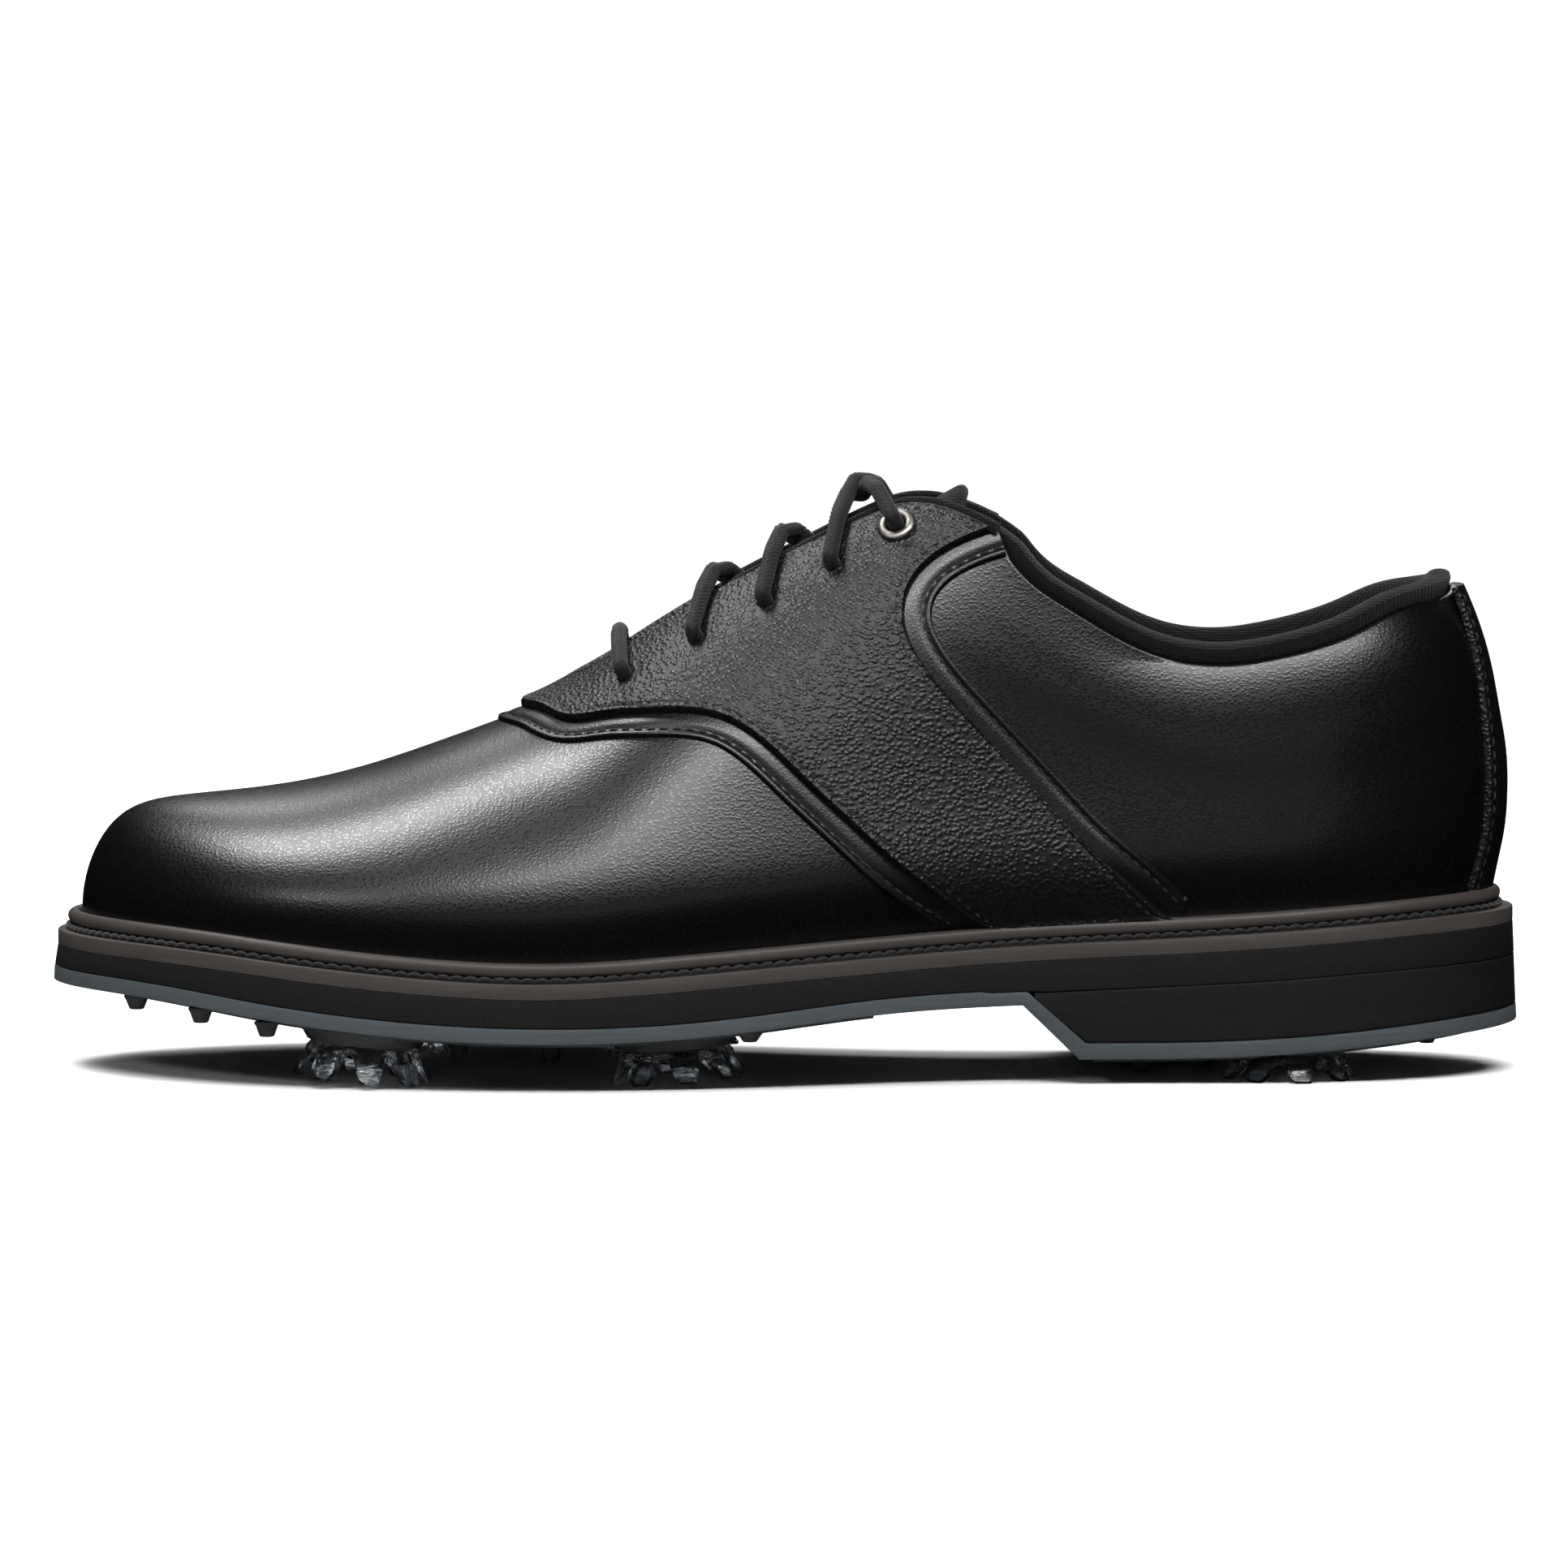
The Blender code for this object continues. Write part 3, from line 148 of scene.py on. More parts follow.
def upper(p, phi):
    """Points of the upper surface. Below the feather line it goes straight down behind the welt."""
    p, phi = np.broadcast_arrays(np.asarray(p, float), np.asarray(phi, float))
    x_nominal = -HALF_LENGTH * np.cos(math.pi * p)
    inset = feather_inset(x_nominal)
    here, outward = sole_edge(p, inset)
    other, _ = sole_edge(2 - p, inset)
    ridge = (here + other) / 2
    swell = np.sin(math.pi * p) ** 2
    ridge[..., 1] += ridge_shift(ridge[..., 0]) * swell
    feather = lip_top(here[..., 0]) + FEATHER_RISE
    tip_x = sole_edge(0.0, feather_inset(-153.0))[0][0]
    toe = np.sqrt(np.tanh(TOE_ROUNDING * np.clip(ridge[..., 0] - tip_x, 0, None)))
    height = (ridge_top(ridge[..., 0]) - feather) * toe
    up = np.clip(phi, 0, QUARTER_TURN)
    share = np.cos(up) ** fullness(x_nominal)
    rise = height * np.sin(up)
    z = feather + rise + np.minimum(phi, 0) * BELOW_FEATHER
    xy = ridge + (here - ridge) * share[..., None]
    bump = (rise / BULGE_HEIGHT) ** 2 * np.exp(2 - 2 * rise / BULGE_HEIGHT)
    lateral = np.sin(math.pi * p) >= 0
    size = np.where(lateral, bulge_lateral(x_nominal), bulge_medial(x_nominal))
    xy = xy + outward * (size * bump * np.cos(up))[..., None]
    back = np.clip((x_nominal - 70) / 75, 0, 1)
    xy[..., 0] += heel_profile(rise) * back * back * (3 - 2 * back)
    return np.concatenate([xy, z[..., None]], -1)


def skin_normal(p, phi):
    """Outward unit normals of the upper surface."""
    p, phi = np.broadcast_arrays(np.asarray(p, float), np.asarray(phi, float))
    tip = np.abs(np.sin(math.pi * p / 2)) < 1e-6
    q = np.where(tip, p + 2e-3, p)
    low, high = np.minimum(phi, QUARTER_TURN - 1e-4) - 1e-4, np.minimum(phi, QUARTER_TURN - 1e-4) + 1e-4
    along = upper(q + 1e-4, phi) - upper(q - 1e-4, phi)
    n = np.cross(along, upper(q, high) - upper(q, low))
    n /= np.maximum(np.linalg.norm(n, axis=-1, keepdims=True), 1e-12)
    n[tip] = (-1.0, 0.0, 0.0)
    return n


def layer(p, phi, distance):
    """Points at a distance outside the upper surface."""
    p, phi = np.broadcast_arrays(np.asarray(p, float), np.asarray(phi, float))
    return upper(p, phi) + skin_normal(p, phi) * np.asarray(distance, float)[..., None]


def locate(targets, axes, distance=0.0, start_phi=0.8):
    """The (p, phi) on the lateral side whose layer point has these coordinates along the named axes."""
    goal = np.array(targets, float)
    p = np.arccos(np.clip(-goal[:, 0] / HALF_LENGTH, -0.995, 0.995)) / math.pi
    phi = np.full(len(goal), start_phi) if np.isscalar(start_phi) else np.array(start_phi, float)
    for _ in range(30):
        here = layer(p, phi, distance)[:, axes]
        dp = (layer(p + 1e-4, phi, distance)[:, axes] - here) / 1e-4
        df = (layer(p, phi + 1e-4, distance)[:, axes] - here) / 1e-4
        jac = np.stack([dp, df], -1)
        square = np.einsum("nki,nkj->nij", jac, jac) + np.eye(2) * 1e-6
        step = np.linalg.solve(square, np.einsum("nki,nk->ni", jac, goal - here)[..., None])[..., 0]
        p = np.clip(p + np.clip(step[:, 0], -0.03, 0.03), 0.02, 1.0)
        phi = np.clip(phi + np.clip(step[:, 1], -0.15, 0.15), -0.15, 1.555)
    return np.stack([p, phi], -1)


def lengths(points):
    """The running length at each of a row of points."""
    return np.concatenate([[0], np.cumsum(np.linalg.norm(np.diff(points, axis=0), axis=1))])


def run_length(curve):
    return float(lengths(upper(np.asarray(curve)[:, 0], np.asarray(curve)[:, 1]))[-1])


def resample(curve, shares):
    """Points of the (p, phi) curve at the given shares of its length on the shoe."""
    curve = np.asarray(curve, float)
    fine, key = np.linspace(0, 1, 500), np.linspace(0, 1, len(curve))
    dense = np.stack([np.interp(fine, key, curve[:, k]) for k in range(2)], -1)
    length = lengths(upper(dense[:, 0], dense[:, 1]))
    return np.stack([np.interp(np.asarray(shares) * length[-1], length, dense[:, k]) for k in range(2)], -1)


def shares(length, step, crowd=(0.0, 0.1, 0.3, 0.6, 0.9, 1.3, 1.7, 2.1, 2.6)):
    """Even steps along a run of this length, with close ones at both ends for rolled edges."""
    near = np.array(crowd) / length
    count = max(4, int((length - 2 * crowd[-1]) / step))
    return np.concatenate([near, np.linspace(near[-1], 1 - near[-1], count)[1:-1], 1 - near[::-1]])


def rounded(curve, count=60):
    """A smooth (p, phi) curve through given points, by splines over their running length."""
    curve = np.asarray(curve, float)
    s = lengths(upper(curve[:, 0], curve[:, 1]))
    t = np.linspace(0, s[-1], count)
    return np.stack([spline(s, curve[:, k])(t) for k in range(2)], -1)


def moved(curve, distance):
    """The (p, phi) curve moved sideways on the surface, to the right of its run seen from outside."""
    curve = np.asarray(curve, float)
    points, normal = upper(curve[:, 0], curve[:, 1]), skin_normal(curve[:, 0], curve[:, 1])
    along = np.gradient(points, axis=0)
    side = np.cross(along, normal)
    side /= np.linalg.norm(side, axis=1, keepdims=True)
    return locate_near(points + side * distance, curve)


def locate_near(goal, start):
    """The (p, phi) nearest to each 3-D point, from a starting guess."""
    p, phi = start[:, 0].copy(), start[:, 1].copy()
    for _ in range(15):
        here = upper(p, phi)
        jac = np.stack([(upper(p + 1e-4, phi) - here) / 1e-4, (upper(p, phi + 1e-4) - here) / 1e-4], -1)
        square = np.einsum("nki,nkj->nij", jac, jac) + np.eye(2) * 1e-3
        step = np.linalg.solve(square, np.einsum("nki,nk->ni", jac, goal - here)[..., None])[..., 0]
        p = p + np.clip(step[:, 0], -0.03, 0.03)
        phi = np.clip(phi + np.clip(step[:, 1], -0.1, 0.1), WELT_EDGE_PHI, 1.565)
    return np.stack([p, phi], -1)


def mirrored(grid):
    """The same (p, phi) grid or curve on the medial side."""
    return np.stack([2 - grid[..., 0], grid[..., 1]], -1)


def patch(bottom, top, left, right, ts, ss):
    """A grid ruled from the left to the right edge, bent to the bottom and top edges near those two only."""
    low, high, near, far = resample(bottom, ss), resample(top, ss), resample(left, ts), resample(right, ts)
    t, s = ts[:, None, None], ss[None, :, None]
    ruled = (1 - s) * near[:, None] + s * far[:, None]
    sag = low[None] - (1 - s) * low[0] - s * low[-1]
    lift = high[None] - (1 - s) * high[0] - s * high[-1]
    return ruled + (1 - t) ** 2 * sag + t**2 * lift


# ---------------------------------------------------------------- materials


class Finish:
    """A Principled material with a few procedural layers in object coordinates, sized in millimetres."""

    def __init__(self, name, colour, roughness, **sockets):
        self.material = bpy.data.materials.new(name)
        self.material.use_nodes = True
        self.tree = self.material.node_tree
        self.shader = self.tree.nodes["Principled BSDF"]
        self.shader.inputs["Base Color"].default_value = (*colour, 1.0)
        self.shader.inputs["Roughness"].default_value = roughness
        for key, value in sockets.items():
            self.shader.inputs[key.replace("_", " ")].default_value = value
        self.colour, self.roughness = colour, roughness
        self.coords = self.node("ShaderNodeTexCoord").outputs["Object"]
        self.bump = None

    def node(self, kind, **settings):
        made = self.tree.nodes.new(kind)
        for key, value in settings.items():
            if key in made.inputs:
                made.inputs[key].default_value = value
            else:
                setattr(made, key, value)
        return made

    def link(self, source, target):
        self.tree.links.new(source, target)

    def scaled(self, per_mm, source=None):
        """Coordinates multiplied so that one texture cell is 1 / per_mm millimetres."""
        made = self.node("ShaderNodeMapping")
        self.link(source or self.coords, made.inputs["Vector"])
        made.inputs["Scale"].default_value = [1000 * s for s in per_mm]
        return made.outputs["Vector"]

    def noise(self, per_mm, detail=3.0, rough=0.55):
        made = self.node("ShaderNodeTexNoise", Scale=1.0, Detail=detail, Roughness=rough)
        self.link(self.scaled(per_mm), made.inputs["Vector"])
        return made

    def math(self, operation, a, b):
        made = self.node("ShaderNodeMath", operation=operation)
        for socket, value in zip(made.inputs, (a, b)):
            if isinstance(value, (int, float)):
                socket.default_value = value
            else:
                self.link(value, socket)
        return made.outputs[0]

    def ramp(self, source, low, high):
        """The source's range from low to high, stretched to 0 to 1."""
        made = self.node("ShaderNodeMapRange")
        made.interpolation_type = "SMOOTHSTEP"
        self.link(source, made.inputs["Value"])
        made.inputs["From Min"].default_value, made.inputs["From Max"].default_value = low, high
        return made.outputs["Result"]

    def raise_by(self, height, depth_mm):
        """Adds a bump layer over the ones before it."""
        made = self.node("ShaderNodeBump", Strength=1.0, Distance=depth_mm * MM)
        self.link(height, made.inputs["Height"])
        if self.bump is not None:
            self.link(self.bump, made.inputs["Normal"])
        self.bump = made.outputs["Normal"]
        self.link(self.bump, self.shader.inputs["Normal"])

    def tint(self, share, other):
        """Mixes the base colour towards another by a share."""
        made = self.node("ShaderNodeMix", data_type="RGBA")
        before = self.shader.inputs["Base Color"].links
        if before:
            self.link(before[0].from_socket, made.inputs[6])
        else:
            made.inputs[6].default_value = (*self.colour, 1.0)
        made.inputs[7].default_value = (*other, 1.0)
        self.link(share, made.inputs[0])
        self.link(made.outputs[2], self.shader.inputs["Base Color"])

    def vary_roughness(self, share, other):
        made = self.node("ShaderNodeMapRange")
        self.link(share, made.inputs["Value"])
        made.inputs["To Min"].default_value, made.inputs["To Max"].default_value = self.roughness, other
        self.link(made.outputs["Result"], self.shader.inputs["Roughness"])


def leather_finish(name, colour, roughness, cell, depth, stretch=(1.0, 1.0, 1.0), coat=0.0):
    """Grained leather: small domed pebbles, finer wrinkles and pores, slow changes of tone, and painted shade
    darkening the creases between the pebbles.
    """
    made = Finish(name, colour, roughness, Coat_Weight=coat, Coat_Roughness=0.25, Specular_IOR_Level=0.5)
    warp = made.noise((0.5 / cell,) * 3, detail=3.0)
    offset = made.node("ShaderNodeVectorMath", operation="MULTIPLY_ADD")
    made.link(warp.outputs["Color"], offset.inputs[0])
    offset.inputs[1].default_value = (0.7 * cell * MM,) * 3
    made.link(made.coords, offset.inputs[2])
    cells = made.node("ShaderNodeTexVoronoi", feature="SMOOTH_F1", Scale=1.0, Randomness=0.9, Smoothness=0.25)
    made.link(made.scaled([s / cell for s in stretch], offset.outputs[0]), cells.inputs["Vector"])
    pebble = made.ramp(cells.outputs["Distance"], 0.72, 0.12)
    wrinkles = made.noise([1.3 * s / cell for s in stretch], detail=4.0, rough=0.6)
    pores = made.noise((3.4, 3.4, 3.4), detail=3.0)
    slow = made.ramp(made.noise((0.02, 0.02, 0.02), detail=2.0).outputs["Fac"], 0.35, 0.7)
    made.raise_by(pores.outputs["Fac"], depth * 0.25)
    made.raise_by(wrinkles.outputs["Fac"], depth * 0.5)
    made.raise_by(pebble, depth)
    made.tint(made.math("MULTIPLY", slow, 0.4), tuple(c * 1.5 for c in colour))
    # painted shade: the colour darkens between the pebbles, in the creases, where shade would fall
    made.tint(made.math("MULTIPLY", made.math("SUBTRACT", 1.0, pebble), 0.7), tuple(c * 0.4 for c in colour))
    made.vary_roughness(made.math("SUBTRACT", 1.0, pebble), min(0.95, roughness + 0.15))
    return made.material


def rubber_finish(name, colour, roughness, streak, depth):
    """Buffed rubber: fine lengthwise marks on the side walls, grit, and slightly rubbed patches."""
    made = Finish(name, colour, roughness, Specular_IOR_Level=0.4)
    marks = made.noise((0.05, 0.05, streak), detail=5.0, rough=0.7)
    grit = made.noise((2.5, 2.5, 2.5), detail=3.0, rough=0.7)
    slow = made.ramp(made.noise((0.06, 0.06, 0.2), detail=3.0).outputs["Fac"], 0.4, 0.75)
    made.raise_by(grit.outputs["Fac"], depth * 0.7)
    made.raise_by(marks.outputs["Fac"], depth)
    made.tint(made.math("MULTIPLY", made.ramp(marks.outputs["Fac"], 0.45, 0.7), 0.45),
              tuple(min(1.0, c * 1.5 + 0.002) for c in colour))
    made.tint(made.math("MULTIPLY", slow, 0.3), tuple(c * 0.7 for c in colour))
    made.vary_roughness(made.ramp(grit.outputs["Fac"], 0.3, 0.7), min(1.0, roughness + 0.18))
    return made.material


def knit_finish(name, colour, cell, depth):
    """Knitted textile: rows of small loops, fuzz, a soft sheen, and painted shade darkening the gaps between
    the loops.
    """
    made = Finish(name, colour, 0.9, Sheen_Weight=0.08, Sheen_Roughness=0.5, Specular_IOR_Level=0.2)
    loops = made.node("ShaderNodeTexVoronoi", feature="F1", Scale=1.0, Randomness=0.22)
    made.link(made.scaled((1 / cell, 1 / cell, 1.35 / cell)), loops.inputs["Vector"])
    fuzz = made.noise((4.0, 4.0, 4.0), detail=4.0, rough=0.7)
    loop = made.ramp(loops.outputs["Distance"], 0.75, 0.1)
    made.raise_by(fuzz.outputs["Fac"], depth * 0.5)
    made.raise_by(loop, depth)
    # painted shade: darker in the gaps between the loops
    made.tint(made.math("SUBTRACT", 1.0, loop), tuple(c * 0.3 for c in colour))
    pale = made.math("MULTIPLY", made.ramp(fuzz.outputs["Fac"], 0.5, 0.75), 0.5)
    made.tint(pale, tuple(c * 2.0 for c in colour))
    return made.material


def braid_finish(name, colour):
    """Braided yarn: painted shade between the strands, with fine plies and a little fuzz."""
    made = Finish(name, colour, 0.62, Sheen_Weight=0.08, Sheen_Roughness=0.5, Specular_IOR_Level=0.35)
    strand = made.node("ShaderNodeAttribute", attribute_name="strand").outputs["Fac"]
    plies = made.noise((2.4, 2.4, 2.4), detail=3.0)
    made.raise_by(plies.outputs["Fac"], 0.10)
    made.tint(made.math("MULTIPLY", plies.outputs["Fac"], 0.6), tuple(c * 2.2 for c in colour))
    # painted shade: darker where the strand attribute is low, in the valleys between strands
    made.tint(made.ramp(strand, 0.75, 0.05), tuple(c * 0.15 for c in colour))
    made.vary_roughness(made.ramp(plies.outputs["Fac"], 0.35, 0.65), 0.85)
    return made.material


def thread_finish(name, colour, twist):
    """Waxed or braided thread: fine twisted plies."""
    made = Finish(name, colour, 0.6, Sheen_Weight=0.15, Specular_IOR_Level=0.45)
    plies = made.noise((twist, twist, twist * 2.2), detail=2.0)
    made.raise_by(plies.outputs["Fac"], 0.08)
    made.tint(made.ramp(plies.outputs["Fac"], 0.4, 0.7), tuple(c * 2.2 for c in colour))
    made.vary_roughness(made.ramp(plies.outputs["Fac"], 0.35, 0.65), 0.85)
    return made.material


def metal_finish(name, colour, roughness):
    """Brushed metal with handling marks."""
    made = Finish(name, colour, roughness, Metallic=1.0)
    brushed = made.noise((6.0, 0.6, 6.0), detail=4.0, rough=0.7)
    marks = made.noise((0.5, 0.5, 0.5), detail=3.0)
    made.raise_by(brushed.outputs["Fac"], 0.015)
    made.tint(made.ramp(marks.outputs["Fac"], 0.45, 0.7), tuple(c * 0.55 for c in colour))
    made.vary_roughness(made.ramp(brushed.outputs["Fac"], 0.35, 0.65), roughness + 0.2)
    return made.material


def moulded_finish(name, colour, roughness, depth=0.03):
    """Moulded plastic with a spark-eroded texture."""
    made = Finish(name, colour, roughness, Specular_IOR_Level=0.45)
    spark = made.noise((3.5, 3.5, 3.5), detail=3.0, rough=0.65)
    slow = made.noise((0.12, 0.12, 0.12), detail=2.0)
    made.raise_by(spark.outputs["Fac"], depth)
    made.tint(made.ramp(slow.outputs["Fac"], 0.4, 0.7), tuple(c * 1.35 for c in colour))
    made.vary_roughness(made.ramp(spark.outputs["Fac"], 0.3, 0.7), min(1.0, roughness + 0.15))
    return made.material


def clear_finish(name):
    """Clear polyurethane with flow lines and slightly scuffed tips."""
    made = Finish(name, (0.80, 0.85, 0.90), 0.08, Transmission_Weight=1.0, IOR=1.49, Specular_IOR_Level=0.5)
    flow = made.noise((0.25, 0.25, 0.7), detail=3.0)
    scuff = made.noise((2.0, 2.0, 2.0), detail=4.0, rough=0.7)
    made.raise_by(flow.outputs["Fac"], 0.25)
    made.raise_by(scuff.outputs["Fac"], 0.02)
    made.vary_roughness(made.ramp(scuff.outputs["Fac"], 0.35, 0.75), 0.3)
    return made.material


def fibre_finish(name, colour, roughness):
    """Pressed board: short fibres in two tones."""
    made = Finish(name, colour, roughness)
    fibres = made.noise((0.4, 2.2, 2.2), detail=4.0, rough=0.7)
    made.raise_by(fibres.outputs["Fac"], 0.05)
    made.tint(made.ramp(fibres.outputs["Fac"], 0.4, 0.7), tuple(c * 0.6 for c in colour))
    return made.material


SMOOTH = leather_finish("smooth_black_leather", (0.002, 0.002, 0.0022), 0.25, cell=0.7, depth=0.028,
                        stretch=(0.9, 1.0, 1.1), coat=0.15)
STRIP = leather_finish("strip_leather", (0.003, 0.003, 0.0032), 0.27, cell=0.6, depth=0.02, coat=0.2)
PEBBLED = leather_finish("tumbled_black_leather", (0.0032, 0.0032, 0.0036), 0.32, cell=1.05, depth=0.15,
                         stretch=(1.0, 1.0, 1.15))
KNIT = knit_finish("black_knit", (0.0022, 0.0024, 0.0028), 0.75, 0.16)
LINING_CLOTH = knit_finish("lining_cloth", (0.006, 0.0063, 0.007), 0.6, 0.06)
LACE_YARN = braid_finish("lace_yarn", (0.0022, 0.0025, 0.003))
THREAD = thread_finish("waxed_thread", (0.0018, 0.0018, 0.0021), 2.5)
WELT = rubber_finish("welt_rubber", (0.034, 0.0285, 0.026), 0.42, 1.2, 0.03)
BLACK_SOLE = rubber_finish("buffed_black_rubber", (0.0022, 0.0022, 0.0022), 0.7, 2.0, 0.05)
GREY_SOLE = rubber_finish("grey_outsole_rubber", (0.036, 0.044, 0.049), 0.55, 2.6, 0.07)
PLATE_BLACK = moulded_finish("plate_polyurethane", (0.02, 0.021, 0.022), 0.42)
CLEAR = clear_finish("clear_polyurethane")
NICKEL = metal_finish("brushed_nickel", (0.36, 0.34, 0.31), 0.3)
DARK_METAL = metal_finish("blackened_metal", (0.05, 0.05, 0.052), 0.4)
STEEL = metal_finish("shank_steel", (0.5, 0.5, 0.52), 0.35)
BOARD = fibre_finish("cellulose_board", (0.40, 0.31, 0.21), 0.9)


# ---------------------------------------------------------------- mesh building


def add_piece(name, verts, faces, finish, body="shoe", replaces=(), slot=None, sharp=38, relief=None):
    """One mesh in millimetres as a piece that rides on a body and stands for some CAD nodes."""
    mesh = bpy.data.meshes.new(name)
    mesh.from_pydata((np.asarray(verts, float) * MM).tolist(), [], [list(map(int, f)) for f in faces])
    if relief is not None:
        strand = mesh.attributes.new("strand", "FLOAT", "POINT")
        strand.data.foreach_set("value", relief.astype(np.float32).ravel())
    bm = bmesh.new()
    bm.from_mesh(mesh)
    bmesh.ops.remove_doubles(bm, verts=bm.verts, dist=2e-6)
    bmesh.ops.recalc_face_normals(bm, faces=bm.faces)
    bm.to_mesh(mesh)
    bm.free()
    mesh.shade_smooth()
    mesh.set_sharp_from_angle(angle=math.radians(sharp))
    mesh.materials.append(finish)
    obj = bpy.data.objects.new(name, mesh)
    bpy.context.scene.collection.objects.link(obj)
    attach(obj, body)
    if replaces:
        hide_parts(*replaces)
    return obj


def quads(rows, columns, start=0, close_rows=False, close_columns=False):
    """Faces of a grid of points numbered row by row."""
    i = np.arange(rows if close_rows else rows - 1)[:, None]
    j = np.arange(columns if close_columns else columns - 1)[None, :]
    k, l = (i + 1) % rows, (j + 1) % columns
    cells = np.stack([i * columns + j, i * columns + l, k * columns + l, k * columns + j], -1)
    return (cells.reshape(-1, 4) + start).tolist()


def sheet_mesh(outer, inner, pole=False):
    """Vertices and faces of the solid between two grids. With a pole, the first column has no rim."""
    n, m = outer.shape[:2]
    verts = np.concatenate([outer.reshape(-1, 3), inner.reshape(-1, 3)])
    faces = quads(n, m) + [f[::-1] for f in quads(n, m, n * m)]
    rim = list(range(m)) + [i * m + m - 1 for i in range(1, n)]
    rim += [(n - 1) * m + j for j in range(m - 2, -1, -1)] + [i * m for i in range(n - 2, 0, -1)]
    for a, b in zip(rim, rim[1:] + rim[:1]):
        if not (pole and a % m == 0 and b % m == 0):
            faces.append((b, a, n * m + a, n * m + b))
    return verts, faces


def ring_mesh(rings, loop=False):
    """Vertices and faces through closed rings of points, with end caps or joined on themselves."""
    rings = np.asarray(rings, float)
    n, m = rings.shape[:2]
    faces = quads(n, m, close_rows=loop, close_columns=True)
    if not loop:
        faces += [tuple(range(m - 1, -1, -1)), tuple((n - 1) * m + j for j in range(m))]
    return rings.reshape(-1, 3), faces


def merged(parts):
    """Several (vertices, faces) as one."""
    verts, faces, start = [], [], 0
    for v, f in parts:
        verts.append(v)
        faces += [[i + start for i in face] for face in f]
        start += len(v)
    return np.concatenate(verts), faces


def placed(points, place):
    return points @ np.array(place.to_3x3()).T + np.array(place.translation)


def turned_mesh(profile, sides, place, loop=False):
    """A (radius, height) profile turned about the local Z axis of a place."""
    angles = 2 * math.pi * np.arange(sides) / sides
    rings = np.array([[(r * math.cos(a), r * math.sin(a), z) for a in angles] for r, z in profile])
    return ring_mesh(placed(rings, place), loop)


def smooth_path(points, step):
    """Points at even steps along a cubic through these ones, and the running length."""
    points = np.asarray(points, float)
    s = lengths(points)
    t = np.linspace(0, s[-1], max(4, int(s[-1] / step)))
    path = np.stack([np.interp(t, s, points[:, k]) for k in range(3)], -1)
    for _ in range(int(2.2 / step)):
        path[1:-1] = path[1:-1] * 0.5 + (path[:-2] + path[2:]) * 0.25
    return path, lengths(path)


def tube_rings(path, radii, sides):
    """Rings round a path. radii is one number per point, or one per point and side."""
    along = np.gradient(path, axis=0)
    along /= np.linalg.norm(along, axis=1, keepdims=True)
    side = np.cross(along[0], (0.3, 0.2, 1.0))
    angles = 2 * math.pi * np.arange(sides) / sides
    rings = []
    for k, forward in enumerate(along):
        side = side - forward * (side @ forward)
        side /= np.linalg.norm(side)
        up = np.cross(forward, side)
        r = np.broadcast_to(radii[k], sides)[:, None]
        rings.append(path[k] + r * (np.cos(angles)[:, None] * side + np.sin(angles)[:, None] * up))
    return np.array(rings)


# ---------------------------------------------------------------- sole


def constant(value):
    return lambda x: np.full_like(np.asarray(x, float), value)


def end_stations(first, last, count):
    """Stations that crowd towards the toe and heel, as the plan's round ends need."""
    a, b = math.acos(-first / HALF_LENGTH), math.acos(-last / HALF_LENGTH)
    return -HALF_LENGTH * np.cos(np.linspace(a, b, count))


def outsole_bottom(x):
    slope = np.interp(x, (BREAST_TOP_X, BREAST_FOOT_X), (16.5, 5.2))
    behind = np.where(x >= BREAST_FOOT_X, heel_bottom(x), slope)
    return np.where(x <= BREAST_TOP_X, forefoot_bottom(x), behind)


def outsole_top(x):
    slope = np.interp(x, (BREAST_TOP_X + 1, BREAST_FOOT_X + 1.4), (16.5 + OUTSOLE_THICKNESS - 0.4, 8.6))
    ahead, behind = forefoot_bottom(x) + OUTSOLE_THICKNESS, heel_bottom(x) + OUTSOLE_THICKNESS + 0.2
    return np.where(x <= BREAST_TOP_X + 1, ahead - 0.4 * (x > BREAST_TOP_X - 9),
                    np.where(x >= BREAST_FOOT_X + 1.4, behind, slope))


def midsole_bottom(x):
    return np.where(x <= BREAST_TOP_X + 1, outsole_top(np.minimum(x, BREAST_TOP_X + 1)) + GAP, heel_joint(x))


FRONT = list(end_stations(-HALF_LENGTH, 40.0, 84))
BACK = list(end_stations(73.0, HALF_LENGTH, 60))


def slab_mesh(tops, bottoms, top, bottom, inset_top, inset_bottom, profile, columns=14):
    """A sole layer over the plan between stations. profile lists (extra inset, share of the way down)."""
    tops, bottoms = np.array(tops, float), np.array(bottoms, float)

    def outline(extra, share):
        x = tops * (1 - share) + bottoms * share
        u = np.arccos(np.clip(-x / HALF_LENGTH, -1, 1)) / math.pi
        inset = inset_top(x) * (1 - share) + inset_bottom(x) * share + extra
        return sole_edge(u, inset)[0], sole_edge(2 - u, inset)[0]

    def lifted(flat, share):
        x = flat[..., :1]
        return np.concatenate([flat, top(x) * (1 - share) + bottom(x) * share], -1)

    def cap(extra, share):
        lateral, medial = outline(extra, share)
        t = np.linspace(0, 1, columns + 1)[None, :, None]
        return lifted(lateral[:, None] * (1 - t) + medial[:, None] * t, share)

    def wall(extra, share):
        lateral, medial = outline(extra, share)
        t = np.linspace(0, 1, columns + 1)[1:-1, None]
        back, front = lateral[-1] * (1 - t) + medial[-1] * t, medial[0] * (1 - t) + lateral[0] * t
        return lifted(np.concatenate([lateral, back, medial[::-1], front]), share)

    rings = np.array([wall(e, s) for e, s in profile])
    n, m = len(tops), columns + 1
    upper_cap, lower_cap = cap(*profile[0]), cap(*profile[-1])
    parts = [(upper_cap.reshape(-1, 3), quads(n, m)), (lower_cap.reshape(-1, 3), quads(n, m))]
    parts.append((rings.reshape(-1, 3), quads(len(rings), rings.shape[1], close_columns=True)))
    return merged(parts)


